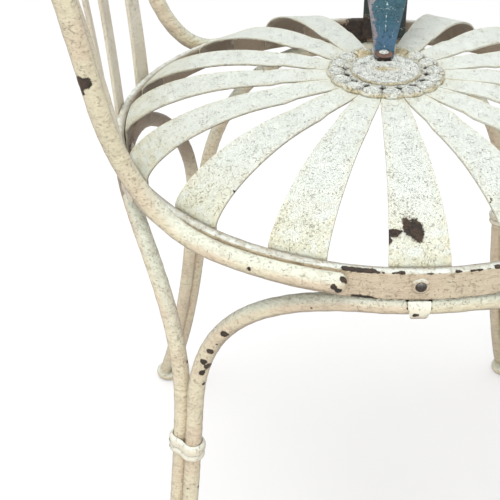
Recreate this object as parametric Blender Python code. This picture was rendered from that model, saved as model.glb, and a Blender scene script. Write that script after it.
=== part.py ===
"""Round garden chair of painted steel with a sprung sunburst seat.

Metres, Z up, the floor at Z = 0. The sitter faces -Y and has +X on the left hand.
The seat ring carries sixteen arched spring slats, a rod hoop with four flat slats behind it,
and four rod arches whose neighbouring legs are bound in pairs and stand on round pads.
"""
import bpy
import numpy as np
from mathutils import Vector
from math import asin, atan, cos, degrees, pi, radians, sin, sqrt, tan

# Driving dimensions
CLEARANCE = 0.0003          # air between two painted pieces that touch

RING_HEIGHT = 0.4165        # floor to the top edge of the seat ring
RING_RADIUS = 0.200         # to the ring's outer face
RING_WALL = 0.007
RING_BAND = 0.0204          # height of the flat bar
RING_EDGE = 0.0008          # chamfer along the bar's four edges
RING_STEPS = 96

SLAT_COUNT = 16
SLAT_THICK = 0.0016
SLAT_RIM_WIDTH = 0.0380
SLAT_HUB_WIDTH = 0.0180
SLAT_TAB = 0.0165           # how far the bent end reaches down inside the ring
SLAT_ROOT_RADIUS = 0.016    # where the pointed inner ends stop
SLAT_CREST_RADIUS = 0.085   # inside this radius the slats run level to the hub
SLAT_ROUNDNESS = 1.38       # power of the arch's rise: 1 is an ellipse, 2 a parabola
SEAT_RISE = 0.0342          # crest of the slats above the ring's top edge
HUB_RISE = 0.0016           # and the hub above that crest
REPLACED_SLAT = 9           # this one is missing, and a strip of other steel stands in its place
# how much higher than the rest each slat was bent, by its number
SLAT_LIFT = {2: 0.0010, 3: 0.0017, 4: 0.0012, 5: 0.0006, 6: -0.0022, 7: -0.0028, 8: -0.0006,
             10: -0.0009, 11: 0.0008, 14: 0.0012, 15: 0.0020}
# how far it has been pushed round the hub, in degrees
SLAT_TURN = {4: -1.2, 5: 1.8, 6: 1.2, 7: -1.4, 8: 0.5, 10: -4.6, 11: -5.2, 12: -5.0, 13: -3.9,
             14: -0.3}
# how far its rim end alone has been knocked sideways, in degrees
SLAT_KNOCK = {3: -0.9, 5: -2.6, 6: -0.6, 7: -2.7, 8: -3.9, 10: 1.2, 11: 0.4}
# how much higher one of its edges has been bent than its middle
SLAT_TWIST = {4: 0.0007, 8: 0.0024, 10: 0.0006, 11: 0.0010}
SLAT_TAB_BEND = 0.3         # share of the tab's depth where its bend ends

HUB_RADIUS = 0.0432
HUB_SCALLOP = 0.0022        # depth of the notches between two petals
HUB_THICK = 0.0020
PETAL_DOME = 0.0007         # how far each petal is pressed up
CAP_RADIUS = 0.0262
CAP_SCALLOP = 0.0012
CAP_THICK = 0.0016
BACKING_RADIUS = 0.0400
BACKING_THICK = 0.0022
HUB_PIN_RADIUS = 0.0040
HUB_HEAD_RADIUS = 0.0075
HUB_HEAD_HEIGHT = 0.0010

STRIP_THICK = 0.0018        # the replacement strip
STRIP_WIDTH = 0.0380
STRIP_TIP_WIDTH = 0.0150
STRIP_TIP_INSET = 0.0057    # the strip's rivet from the cap's edge
STRIP_TAPER = 0.060         # length over which it widens
STRIP_CREST = 0.088         # top of its loop above the ring's top edge
STRIP_SHIFT = -0.0246       # its rim end sits beside the lost slat's place
STRIP_TIP_SHIFT = -0.0008
STRIP_PIN_RADIUS = 0.0028
STRIP_HEAD_RADIUS = 0.0046
STRIP_HEAD_HEIGHT = 0.0022

HOOP_ROD = 0.0132           # diameters of the two kinds of rod
LEG_ROD = 0.0124
HOOP_DROP_LEFT = 0.0112     # centre of the hoop's two ends below the ring's top edge
HOOP_DROP_RIGHT = 0.0056
HOOP_END_ANGLE = 76.2       # where its ends lie, in degrees from straight back
HOOP_LEAVE_LEFT = 54.2      # where each of its sides leaves the ring
HOOP_LEAVE_RIGHT = 52.8
HOOP_LEAVE_REACH = 0.063    # how softly it bends up from the ring
HOOP_RISE_REACH = 0.010
HOOP_SIDE = 0.1519          # half width, depth and height where the straight side begins
HOOP_SIDE_BACK = 0.1893
HOOP_SIDE_START = 0.0845
HOOP_SIDE_END = 0.290
HOOP_SPLAY = 0.110          # sideways and backwards travel per metre of height
HOOP_LEAN = 0.169
HOOP_TOP = 0.436            # top of the hoop's centre line above the ring's top edge
HOOP_SHOULDER = 0.60        # fullness of its round top, 0.55 is an ellipse

BACK_SLAT_THICK = 0.0028
BACK_SLAT_WIDTH = 0.0200
BACK_SLAT_ANGLES = (-22.5, -7.5, 7.5, 22.5)
BACK_SLAT_LEAN = 0.060      # how far each foot leans back, per metre of height
BACK_SLAT_FAN = 3.06        # sideways travel per metre of height, for each metre from the middle
BACK_SLAT_FOOT = 0.0175     # how far each foot reaches down behind the ring
BACK_SLAT_STATIONS = (0.0, 0.0, 0.08, 0.25, 0.45, 0.65, 0.85, 1.0, 1.015)

ARCH_INSET = 0.0036         # how far inside the middle of the bar the arches run
LEG_SLOPE = 0.090           # even outward travel of the legs per metre of drop
LEG_FLARE = 0.0410          # further travel in the lower part, as a power of the drop
LEG_FLARE_POWER = {"back_left": 3.45, "back_right": 6.0, "front_right": 4.0, "front_left": 3.45}
ARCH_RUN = 8.0              # half of the straight stretch under the ring, in degrees
ARCH_FULLNESS = 0.93        # power of the arches' corners: 1 is an ellipse, less is squarer
ARCH_DROP = {"right": 0.122, "back": 0.138, "left": 0.125, "front": 0.132}
ARCH_BEARING = {"right": 180.0, "back": 90.0, "left": 0.0, "front": -90.0}
CORNERS = {"back_left": 45.0, "back_right": 135.0, "front_right": 225.0, "front_left": 315.0}
ARCH_CORNERS = {"right": ("back_right", "front_right"), "back": ("back_left", "back_right"),
                "left": ("front_left", "back_left"), "front": ("front_right", "front_left")}

COLLAR_DROP = 0.189         # middle of each collar below the ring's top edge
COLLAR_HEIGHT = 0.0140
COLLAR_WALL = 0.0025
COLLAR_WAIST = 0.0010       # how far it is pinched in between its two legs
COLLAR_GROOVE = 0.0012
CLIP_WIDTH = 0.0136
CLIP_FOOT_WIDTH = 0.0090
CLIP_WALL = 0.0022
CLIP_LAP = 50.0             # how far round towards the ring it reaches, in degrees
FOOT_RADIUS = 0.0142
FOOT_HEIGHT = 0.0090
FOOT_ROUND = 0.0030

# Sizes that follow from the driving ones
RING_INNER = RING_RADIUS - RING_WALL
RING_MIDDLE = RING_RADIUS - RING_WALL / 2
RING_BOTTOM = RING_HEIGHT - RING_BAND
TAB_RADIUS = RING_INNER * cos(pi / RING_STEPS) - CLEARANCE - SLAT_THICK / 2
SLAT_LEVEL = RING_HEIGHT + SEAT_RISE + HUB_RISE
HUB_LEVEL = SLAT_LEVEL + SLAT_THICK / 2 + CLEARANCE
CAP_LEVEL = HUB_LEVEL + HUB_THICK + CLEARANCE
BACKING_LEVEL = SLAT_LEVEL - SLAT_THICK / 2 - CLEARANCE - BACKING_THICK
PIN_HOLE_RADIUS = HUB_PIN_RADIUS + CLEARANCE
STRIP_LEVEL = CAP_LEVEL + CAP_THICK + CLEARANCE + STRIP_THICK / 2
STRIP_TIP_RADIUS = CAP_RADIUS - STRIP_TIP_INSET
STRIP_HOLE_RADIUS = STRIP_PIN_RADIUS + CLEARANCE
HOOP_PATH_RADIUS = RING_RADIUS + HOOP_ROD / 2 + CLEARANCE
LEG_PITCH = LEG_ROD + CLEARANCE       # centre to centre of the two rods of a pair
ARCH_LEVEL = RING_BOTTOM - CLEARANCE - LEG_ROD / 2
COLLAR_LEVEL = RING_HEIGHT - COLLAR_DROP
LEG_END = FOOT_HEIGHT + CLEARANCE


# Helpers

def clear_scene():
    for item in list(bpy.data.objects):
        bpy.data.objects.remove(item, do_unlink=True)


def paint(name, colour, roughness, metallic=0.0):
    """One Principled material."""
    material = bpy.data.materials.new(name)
    material.use_nodes = True
    shader = material.node_tree.nodes["Principled BSDF"]
    shader.inputs["Base Color"].default_value = (*colour, 1.0)
    shader.inputs["Roughness"].default_value = roughness
    shader.inputs["Metallic"].default_value = metallic
    return material


def slat_paint(name):
    return paint(name + "_paint", (0.66, 0.68, 0.60), 0.55)


def rod_paint(name):
    return paint(name + "_paint", (0.66, 0.58, 0.47), 0.5)


def blue_paint(name):
    return paint(name + "_paint", (0.09, 0.20, 0.27), 0.5)


def rusty_steel(name):
    return paint(name + "_steel", (0.16, 0.10, 0.07), 0.75, 0.3)


def mesh_object(name, points, faces, material, parent, smooth_angle=35.0):
    """An object from points and faces, smooth apart from edges sharper than the angle."""
    mesh = bpy.data.meshes.new(name)
    mesh.from_pydata([tuple(p) for p in points], [], faces)
    mesh.materials.append(material)
    mesh.validate()
    mesh.shade_smooth()
    mesh.set_sharp_from_angle(angle=radians(smooth_angle))
    thing = bpy.data.objects.new(name, mesh)
    bpy.context.collection.objects.link(thing)
    thing.parent = parent
    return thing


def loft(sections, closed=False):
    """Points and faces of a skin over equal loops of points, each seen anticlockwise from ahead.

    A closed loft joins the last loop to the first. An open one is capped at both ends.
    """
    count = len(sections)
    size = len(sections[0])
    points = [p for loop in sections for p in loop]
    faces = []
    for i in range(count if closed else count - 1):
        low = i * size
        high = ((i + 1) % count) * size
        for j in range(size):
            k = (j + 1) % size
            faces.append((low + j, low + k, high + k, high + j))
    if not closed:
        faces.append(tuple(range(size - 1, -1, -1)))
        faces.append(tuple(range((count - 1) * size, count * size)))
    return points, faces


def turned(profile, steps, loop=False):
    """Points and faces of a profile of (radius, height) spun round Z.

    The profile runs from the top of the axis, down its outer side, to the bottom of the axis.
    A loop instead is closed on itself, as for a piece with a hole.
    """
    points = []
    rows = []
    for radius, height in profile:
        if radius == 0.0:
            rows.append([len(points)] * steps)
            points.append((0.0, 0.0, height))
            continue
        rows.append(list(range(len(points), len(points) + steps)))
        for i in range(steps):
            angle = 2 * pi * i / steps
            points.append((radius * cos(angle), radius * sin(angle), height))
    faces = []
    pairs = list(zip(rows, rows[1:] + rows[:1])) if loop else list(zip(rows, rows[1:]))
    for upper, lower in pairs:
        for i in range(steps):
            j = (i + 1) % steps
            face = (upper[i], lower[i], lower[j], upper[j])
            faces.append(tuple(dict.fromkeys(face)))
    return points, faces


def unit(vector):
    return vector / np.linalg.norm(vector)


def tube_sections(path, radius, sides):
    """Round loops square to a path, carried along it without twist."""
    path = np.asarray(path)
    tangents = np.array([unit(t) for t in np.gradient(path, axis=0)])
    side = unit(np.cross(tangents[0], (0.0, 0.0, 1.0)))
    loops = []
    for point, tangent in zip(path, tangents):
        side = unit(side - tangent * np.dot(side, tangent))
        up = np.cross(tangent, side)
        angles = [2 * pi * i / sides for i in range(sides)]
        loops.append([point + radius * (cos(a) * side + sin(a) * up) for a in angles])
    return loops


def rounded_tube(path, radius, sides):
    """A tube with a low dome on both ends."""
    path = np.asarray(path)
    start = unit(path[0] - path[1])
    end = unit(path[-1] - path[-2])
    loops = tube_sections(path, radius, sides)
    first, last = np.array(loops[0]), np.array(loops[-1])
    for share, reach in ((0.88, 0.36), (0.50, 0.64)):
        loops.insert(0, list(path[0] + (first - path[0]) * share + start * radius * reach))
        loops.append(list(path[-1] + (last - path[-1]) * share + end * radius * reach))
    return loft(loops)


def bezier(start, start_handle, end_handle, end, steps):
    """Points of a cubic curve, its start left out."""
    t = np.linspace(0.0, 1.0, steps + 1)[1:, None]
    return ((1 - t) ** 3 * start + 3 * t * (1 - t) ** 2 * start_handle
            + 3 * t ** 2 * (1 - t) * end_handle + t ** 3 * end)


def on_circle(radius, bearing, height):
    angle = radians(bearing)
    return np.array((radius * cos(angle), radius * sin(angle), height))


# Seat

def make_ring(parent):
    """A flat bar on edge, rolled to a circle and welded."""
    outer, inner, edge = RING_RADIUS, RING_INNER, RING_EDGE
    top, bottom = RING_HEIGHT, RING_BOTTOM
    section = [(inner, top - edge), (inner + edge, top), (outer - edge, top), (outer, top - edge),
               (outer, bottom + edge), (outer - edge, bottom), (inner + edge, bottom),
               (inner, bottom + edge)]
    points, faces = turned(section, RING_STEPS, loop=True)
    return mesh_object("seat_ring", points, faces, rod_paint("seat_ring"), parent)


def slat_bulge(radius):
    """Where a bent slat is bent: not at the rim or the crest, and most in the shoulder between."""
    share = min(max((TAB_RADIUS - radius) / (TAB_RADIUS - SLAT_CREST_RADIUS), 0.0), 1.0)
    return sin(pi * sqrt(share))


def slat_profile(lift):
    """(radius, height) along a slat's middle surface, from its tab up and over to the hub."""
    reach = TAB_RADIUS - SLAT_CREST_RADIUS
    profile = [(TAB_RADIUS, RING_HEIGHT - SLAT_TAB), 
               (TAB_RADIUS, RING_HEIGHT - SLAT_TAB_BEND * SLAT_TAB)]
    for turn in (0, 10, 20, 30, 41, 53, 65, 77, 90):
        radius = SLAT_CREST_RADIUS + reach * cos(radians(turn))
        rise = SEAT_RISE * sin(radians(turn)) ** SLAT_ROUNDNESS + lift * slat_bulge(radius)
        profile.append((radius, RING_HEIGHT + rise))
    for radius in (HUB_RADIUS + 0.020, HUB_RADIUS + 0.003, SLAT_ROOT_RADIUS):
        profile.append((radius, SLAT_LEVEL))
    return profile


def slat_edges(number, radius):
    """Sideways places of a slat's two edges at a radius.

    Its width tapers evenly. Towards the hub each edge stops halfway to the slat beside it.
    """
    share = (radius - HUB_RADIUS) / (TAB_RADIUS - HUB_RADIUS)
    taper = (SLAT_HUB_WIDTH + (SLAT_RIM_WIDTH - SLAT_HUB_WIDTH) * share) / 2
    shift = tan(radians(SLAT_KNOCK.get(number, 0.0))) * max(radius - HUB_RADIUS, 0.0)
    edges = []
    for side in (-1, 1):
        beside = (number - side - 1) % SLAT_COUNT + 1
        apart = side * (SLAT_TURN.get(beside, 0.0) - SLAT_TURN.get(number, 0.0))
        room = radius * tan(radians(180.0 / SLAT_COUNT + apart / 2)) - CLEARANCE
        edges.append(shift + side * min(taper, room - side * min(side * shift, 0.0)))
    return edges


def strip_sections(profile, half_widths, curls, thickness, bearing, shifts, tilts):
    """Six-cornered loops of a bent strip.

    The curl bows it to follow the ring, the shift moves it sideways and the tilt lifts one edge.
    """
    middle = np.array(profile)
    slope = np.array([unit(t) for t in np.gradient(middle, axis=0)])
    normal = np.column_stack((-slope[:, 1], slope[:, 0])) * -thickness / 2
    angle = radians(bearing)
    ahead = np.array((cos(angle), sin(angle), 0.0))
    across = np.array((-sin(angle), cos(angle), 0.0))
    loops = []
    for (radius, height), (out, up), half, curl, shift, tilt in zip(middle, normal, half_widths,
                                                                   curls, shifts, tilts):
        loop = []
        for face, sides in ((1, (-1, 0, 1)), (-1, (1, 0, -1))):
            for side in sides:
                offset = shift + side * half
                bow = curl * (radius - sqrt(max(radius ** 2 - offset ** 2, 0.0)))
                place = ahead * (radius + face * out - bow) + across * offset
                loop.append(place + np.array((0.0, 0.0, height + face * up + side * tilt)))
        loops.append(loop)
    return loops


def make_seat_slat(number, parent):
    """A sprung strip: bent down inside the ring at one end, held in the hub at the other."""
    profile = slat_profile(SLAT_LIFT.get(number, 0.0))
    edges = np.array([slat_edges(number, radius) for radius, _ in profile])
    halves = (edges[:, 1] - edges[:, 0]) / 2
    shifts = (edges[:, 1] + edges[:, 0]) / 2
    curls = [1.0 if i < 3 else max(0.0, 1.0 - (i - 2) / 5) for i in range(len(profile))]
    bearing = 180.0 - 360.0 * (number - 1) / SLAT_COUNT + SLAT_TURN.get(number, 0.0)
    tilts = [SLAT_TWIST.get(number, 0.0) * slat_bulge(radius) for radius, _ in profile]
    sections = strip_sections(profile, halves, curls, SLAT_THICK, bearing, shifts, tilts)
    points, faces = loft(sections)
    name = f"seat_slat_{number:02d}"
    return mesh_object(name, points, faces, slat_paint(name), parent)


def petalled_radius(radius, notch, angle):
    """Edge of a disc with one round petal over each slat."""
    return radius - notch * (1 - sqrt(abs(cos(SLAT_COUNT * angle / 2))))


def petalled_disc(radius, notch, inner_rings, level, thickness, dome):
    """A pressed disc with a pin hole and a scalloped edge whose petals are domed."""
    steps = SLAT_COUNT * 4
    angles = [2 * pi * i / steps for i in range(steps)]
    rings = [PIN_HOLE_RADIUS, *inner_rings]
    top = level + thickness
    loops = []
    for ring in rings:
        loops.append([(ring * cos(a), ring * sin(a), top) for a in angles])
    for share, rise in ((0.90, 1.0), (1.0, 0.0)):
        loop = []
        for a in angles:
            r = petalled_radius(radius, notch, a) * share
            swell = dome * rise * abs(cos(SLAT_COUNT * a / 2))
            loop.append((r * cos(a), r * sin(a), top + swell))
        loops.append(loop)
    edge = [petalled_radius(radius, notch, a) for a in angles]
    loops.append([(r * cos(a), r * sin(a), level) for r, a in zip(edge, angles)])
    loops.append([(rings[0] * cos(a), rings[0] * sin(a), level) for a in angles])
    points = [p for loop in loops for p in loop]
    faces = []
    for i in range(len(loops)):
        upper = i * steps
        lower = ((i + 1) % len(loops)) * steps
        for j in range(steps):
            k = (j + 1) % steps
            faces.append((upper + j, lower + j, lower + k, upper + k))
    return points, faces


def make_hub(parent):
    """Rosette and cap above the slats, a plain disc below, and one rivet through them all."""
    cutter = strip_pin_cutter(parent)
    points, faces = petalled_disc(HUB_RADIUS, HUB_SCALLOP, (CAP_RADIUS, 0.031), HUB_LEVEL,
                                  HUB_THICK, PETAL_DOME)
    rosette = mesh_object("hub_rosette", points, faces, slat_paint("hub_rosette"), parent)
    drill(rosette, cutter)

    points, faces = petalled_disc(CAP_RADIUS, CAP_SCALLOP, (0.018,), CAP_LEVEL, CAP_THICK, 0.0)
    cap = mesh_object("hub_cap", points, faces, slat_paint("hub_cap"), parent)
    drill(cap, cutter)

    top, bottom = BACKING_LEVEL + BACKING_THICK, BACKING_LEVEL
    section = [(PIN_HOLE_RADIUS, top), (BACKING_RADIUS, top), (BACKING_RADIUS, bottom),
               (PIN_HOLE_RADIUS, bottom)]
    points, faces = turned(section, 32, loop=True)
    backing = mesh_object("hub_backing_disc", points, faces, rod_paint("hub_backing_disc"), parent)
    drill(backing, cutter)

    head = CAP_LEVEL + CAP_THICK + CLEARANCE
    tail = BACKING_LEVEL - CLEARANCE
    points, faces = turned(rivet_profile(HUB_PIN_RADIUS, HUB_HEAD_RADIUS, HUB_HEAD_HEIGHT,
                                         head, tail), 16)
    mesh_object("hub_rivet", points, faces, rusty_steel("hub_rivet"), parent)


def rivet_profile(pin, head, height, top_seat, bottom_seat):
    """Half outline of a rivet with a domed head, a pin and a hammered tail."""
    return [(0.0, top_seat + height), (0.55 * head, top_seat + 0.82 * height),
            (head, top_seat), (pin, top_seat), (pin, bottom_seat), (0.9 * head, bottom_seat),
            (0.7 * head, bottom_seat - 0.8 * height), (0.0, bottom_seat - height)]


def strip_pin_place():
    return (STRIP_TIP_RADIUS, STRIP_TIP_SHIFT)


def strip_pin_cutter(parent):
    """A drill through hub and strip for the strip's rivet."""
    x, y = strip_pin_place()
    reach = 0.020
    profile = [(0.0, reach), (STRIP_HOLE_RADIUS, reach), (STRIP_HOLE_RADIUS, -reach),
               (0.0, -reach)]
    points, faces = turned(profile, 12)
    cutter = mesh_object("strip_drill", points, faces, rusty_steel("drill"), parent)
    cutter.location = (x, y, HUB_LEVEL)
    cutter.hide_render = True
    cutter.display_type = 'WIRE'
    return cutter


def drill(thing, cutter):
    hole = thing.modifiers.new("rivet_hole", 'BOOLEAN')
    hole.operation = 'DIFFERENCE'
    hole.solver = 'EXACT'
    hole.object = cutter


def strip_profile():
    """(radius, height) along the replacement strip, from its tip on the hub over to its tab."""
    tip = STRIP_TIP_RADIUS - STRIP_TIP_WIDTH / 2
    foot = STRIP_TIP_RADIUS + STRIP_TIP_WIDTH / 2 + 0.0005
    middle = (foot + TAB_RADIUS) / 2
    reach = (TAB_RADIUS - foot) / 2
    crest = RING_HEIGHT + STRIP_CREST
    profile = [(tip, STRIP_LEVEL), (tip + 0.0022, STRIP_LEVEL), (STRIP_TIP_RADIUS, STRIP_LEVEL),
               (foot - 0.0030, STRIP_LEVEL)]
    for turn in (8, 22, 36, 50, 64, 78, 90):
        profile.append((middle - reach * cos(radians(turn)),
                        STRIP_LEVEL + (crest - STRIP_LEVEL) * sin(radians(turn))))
    for turn in (78, 64, 50, 36, 22, 10, 0):
        profile.append((middle + reach * cos(radians(turn)),
                        RING_HEIGHT + STRIP_CREST * sin(radians(turn))))
    profile.append((TAB_RADIUS, RING_HEIGHT - SLAT_TAB))
    return profile


def make_replacement_strip(parent):
    """A wider, stiffer strip, riveted on top of the hub and looped over to the ring."""
    profile = strip_profile()
    steps = np.diff(np.array(profile), axis=0)
    along = np.concatenate(([0.0], np.cumsum(np.hypot(steps[:, 0], steps[:, 1]))))
    halves = []
    for distance in along:
        share = min(max((distance - STRIP_TIP_WIDTH) / STRIP_TAPER, 0.0), 1.0)
        halves.append((STRIP_TIP_WIDTH + (STRIP_WIDTH - STRIP_TIP_WIDTH) * share) / 2)
    halves[0] *= 0.45
    halves[1] *= 0.80
    radii = np.array(profile)[:, 0]
    travel = (radii - STRIP_TIP_RADIUS) / (TAB_RADIUS - STRIP_TIP_RADIUS)
    shifts = STRIP_TIP_SHIFT + (STRIP_SHIFT - STRIP_TIP_SHIFT) * travel
    curls = [0.0] * (len(profile) - 5) + [0.3, 0.6, 1.0, 1.0, 1.0]
    loops = strip_sections(profile[::-1], halves[::-1], curls[::-1], STRIP_THICK, 0.0,
                           shifts[::-1], np.zeros(len(profile)))
    points, faces = loft(loops)
    strip = mesh_object("replacement_slat", points, faces, blue_paint("replacement_slat"), parent)
    drill(strip, bpy.data.objects["strip_drill"])

    x, y = strip_pin_place()
    head = STRIP_LEVEL + STRIP_THICK / 2 + CLEARANCE
    tail = BACKING_LEVEL - CLEARANCE
    points, faces = turned(rivet_profile(STRIP_PIN_RADIUS, STRIP_HEAD_RADIUS, STRIP_HEAD_HEIGHT,
                                         head, tail), 12)
    rivet = mesh_object("replacement_rivet", points, faces, rusty_steel("replacement_rivet"),
                        parent)
    rivet.location = (x, y, 0.0)


# Back

def hoop_half(drop, leave_angle):
    """Centre line of one half of the hoop, from its end beside the ring to the top middle."""
    level = RING_HEIGHT - drop
    hug = np.array([on_circle(HOOP_PATH_RADIUS, 90.0 - a, level)
                    for a in np.linspace(HOOP_END_ANGLE, leave_angle, 8)])
    leave = radians(leave_angle)
    along_ring = np.array((-cos(leave), sin(leave), 0.0))
    up_side = unit(np.array((HOOP_SPLAY, HOOP_LEAN, 1.0)))
    start = np.array((HOOP_SIDE, HOOP_SIDE_BACK, RING_HEIGHT + HOOP_SIDE_START))
    climb = (HOOP_SIDE_END - HOOP_SIDE_START) / up_side[2]
    shoulder = start + up_side * climb
    lift = HOOP_TOP - HOOP_SIDE_END
    crown = np.array((0.0, shoulder[1] + HOOP_LEAN * lift, RING_HEIGHT + HOOP_TOP))
    bend = bezier(hug[-1], hug[-1] + along_ring * HOOP_LEAVE_REACH,
                  start - up_side * HOOP_RISE_REACH, start, 10)
    straight = [start + up_side * climb * share for share in (0.33, 0.67, 1.0)]
    arc = bezier(shoulder, shoulder + up_side * lift * HOOP_SHOULDER,
                 crown + np.array((shoulder[0] * HOOP_SHOULDER, 0.0, 0.0)), crown, 12)
    return np.vstack((hug, bend, straight, arc))


def make_hoop(parent):
    """One rod: its rounded ends hug the ring, its sides lean back, its top is round."""
    left = hoop_half(HOOP_DROP_LEFT, HOOP_LEAVE_LEFT)
    right = hoop_half(HOOP_DROP_RIGHT, HOOP_LEAVE_RIGHT) * (-1, 1, 1)
    path = np.vstack((left, right[-2::-1]))
    points, faces = rounded_tube(path, HOOP_ROD / 2, 10)
    mesh_object("back_hoop", points, faces, rod_paint("back_hoop"), parent, 50.0)
    return left


def hoop_crossing(hoop, start_x, fan):
    """Where a slat that starts at start_x and fans out crosses the hoop, seen from in front."""
    gap = hoop[:, 0] - (start_x + fan * (hoop[:, 2] - RING_HEIGHT))
    for i in range(len(hoop) - 1, 0, -1):
        if gap[i] <= 0.0 < gap[i - 1]:
            share = gap[i] / (gap[i] - gap[i - 1])
            return hoop[i] + (hoop[i - 1] - hoop[i]) * share
    return hoop[-1]


def make_back_slat(index, bearing, hoop, parent):
    """A flat bar: its foot lies on the ring's outer face, its top on the back of the hoop.

    On the way up it bows back until it lies along the hoop, and turns from square to the ring to
    square to the hoop.
    """
    side = 1 if bearing > 0 else -1
    angle = radians(abs(bearing))
    stand = RING_RADIUS + CLEARANCE + BACK_SLAT_THICK / 2
    foot = np.array((stand * sin(angle), stand * cos(angle), RING_HEIGHT))
    cross = hoop_crossing(hoop, foot[0], BACK_SLAT_FAN * foot[0])
    away = unit(np.array((0.0, 1.0, -HOOP_LEAN)))
    top = cross + away * (HOOP_ROD / 2 + CLEARANCE + BACK_SLAT_THICK / 2)
    depth = top[1] - foot[1]
    start = BACK_SLAT_LEAN * (top[2] - foot[2])
    end = HOOP_LEAN * (top[2] - foot[2])
    stations = [foot - np.array((0.0, 0.0, BACK_SLAT_FOOT)), foot]
    for share in BACK_SLAT_STATIONS[2:]:
        point = foot + (top - foot) * share
        left = 1 - share
        point[1] = foot[1] + (depth * share ** 2 * (1 + 2 * left) + start * share * left ** 2
                              - end * share ** 2 * left)
        stations.append(point)
    turns = [1.0] + [1.0 - min(share, 1.0) for share in BACK_SLAT_STATIONS[1:]]
    loops = []
    for point, turn in zip(stations, turns):
        twist = angle * turn
        across = np.array((cos(twist), -sin(twist), 0.0)) * BACK_SLAT_WIDTH / 2
        behind = np.array((sin(twist), cos(twist), 0.0)) * BACK_SLAT_THICK / 2
        corners = [point - across - behind, point + across - behind,
                   point + across + behind, point - across + behind]
        corners = [c * (side, 1, 1) for c in corners]
        loops.append(corners if side > 0 else corners[::-1])
    points, faces = loft(loops)
    name = f"back_slat_{index}"
    mesh_object(name, points, faces, rod_paint(name), parent)


# Legs

def leg_radius(height, power):
    """Distance of a leg from the chair's axis: the legs spread faster near the floor."""
    drop = RING_HEIGHT - height
    return RING_MIDDLE - ARCH_INSET + LEG_SLOPE * drop + LEG_FLARE * (drop / RING_HEIGHT) ** power


def leg_bearing(height, power):
    """Angle from an arch's middle to its leg, beside the diagonal between two arches."""
    return 45.0 - degrees(asin(LEG_PITCH / 2 / leg_radius(height, power)))


def arch_half(drop, side, corner):
    """Points of half an arch, from the middle under the ring round the corner to the floor.

    The bearings grow towards a corner on the arch's left and fall towards one on its right.
    """
    power = LEG_FLARE_POWER[corner]
    way = (CORNERS[corner] - ARCH_BEARING[side] + 180.0) % 360.0 - 180.0
    stations = [(ARCH_RUN * share / 3, ARCH_LEVEL) for share in range(4)]
    for turn in np.linspace(0.0, 90.0, 11)[1:]:
        height = ARCH_LEVEL - drop * (1 - max(cos(radians(turn)), 0.0) ** ARCH_FULLNESS)
        span = leg_bearing(height, power) - ARCH_RUN
        stations.append((ARCH_RUN + span * sin(radians(turn)) ** ARCH_FULLNESS, height))
    for share in np.linspace(0.0, 1.0, 9)[1:]:
        height = ARCH_LEVEL - drop + (LEG_END - ARCH_LEVEL + drop) * share
        stations.append((leg_bearing(height, power), height))
    return [on_circle(leg_radius(z, power), ARCH_BEARING[side] + (a if way > 0 else -a), z)
            for a, z in stations]


def make_arch(side, parent):
    """One rod bent to an inverted U that follows the ring, its legs flaring to the floor."""
    first, second = ARCH_CORNERS[side]
    path = arch_half(ARCH_DROP[side], side, first)[:0:-1]
    path += arch_half(ARCH_DROP[side], side, second)
    loops = tube_sections(path, LEG_ROD / 2, 8)
    for end, inner in ((0, 1), (-1, -2)):
        slope = unit(np.array(path[end]) - np.array(path[inner]))
        loops[end] = [p + slope * (LEG_END - p[2]) / slope[2] for p in loops[end]]
    points, faces = loft(loops)
    name = f"leg_arch_{side}"
    mesh_object(name, points, faces, rod_paint(name), parent, 50.0)


def make_clip(side, parent):
    """A strap bent round the arch's rod up to the ring, narrower at its lowest point."""
    inner = LEG_ROD / 2 + CLEARANCE
    outer = inner + CLIP_WALL
    loops = []
    for turn in np.linspace(CLIP_LAP, -180.0 - CLIP_LAP, 15):
        angle = radians(turn)
        narrow = max(0.0, -sin(angle)) ** 2
        half = (CLIP_WIDTH + (CLIP_FOOT_WIDTH - CLIP_WIDTH) * narrow) / 2
        loop = []
        for reach, y in ((inner, half), (outer, half), (outer, -half), (inner, -half)):
            loop.append((reach * cos(angle), y, reach * sin(angle)))
        loops.append(loop)
    points, faces = loft(loops)
    name = f"arch_clip_{side}"
    clip = mesh_object(name, points, faces, rod_paint(name), parent)
    radius = leg_radius(ARCH_LEVEL, LEG_FLARE_POWER[ARCH_CORNERS[side][0]])
    clip.location = on_circle(radius, ARCH_BEARING[side], ARCH_LEVEL)
    clip.rotation_euler = (0.0, 0.0, radians(ARCH_BEARING[side]))


def make_collar(corner, bearing, parent):
    """A cast band with two beads round a pair of legs, pinched in between them."""
    turns = 5
    bore = (LEG_ROD / 2 + CLEARANCE) / cos(pi / turns / 2)
    half = COLLAR_HEIGHT / 2
    wall = COLLAR_WALL
    groove = wall - COLLAR_GROOVE
    section = [(0.0, half), (0.5 * wall, half), (wall, 0.6 * half), (wall, 0.0),
               (groove, -0.2 * half), (0.85 * wall, -0.4 * half), (0.85 * wall, -0.8 * half),
               (0.4 * wall, -half), (0.0, -half)]
    outline = []
    for first, centre in ((0, LEG_PITCH / 2), (180, -LEG_PITCH / 2)):
        outline += [(first + 180 * i / turns, centre, 0.0) for i in range(turns + 1)]
        outline.append((first + 180, 0.0, COLLAR_WAIST))
    loops = []
    for turn, centre, pinch in outline:
        angle = radians(turn)
        loops.append([((bore + reach - pinch) * cos(angle),
                       centre + (bore + reach - pinch) * sin(angle), z) for reach, z in section])
    points, faces = loft(loops, closed=True)
    name = f"collar_{corner}"
    collar = mesh_object(name, points, faces, rod_paint(name), parent)
    power = LEG_FLARE_POWER[corner]
    upper = leg_radius(COLLAR_LEVEL + half, power)
    lower = leg_radius(COLLAR_LEVEL - half, power)
    slope = (lower - upper) / COLLAR_HEIGHT
    collar.location = on_circle(leg_radius(COLLAR_LEVEL, power), bearing, COLLAR_LEVEL)
    collar.rotation_euler = (0.0, -atan(slope), radians(bearing))


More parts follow.
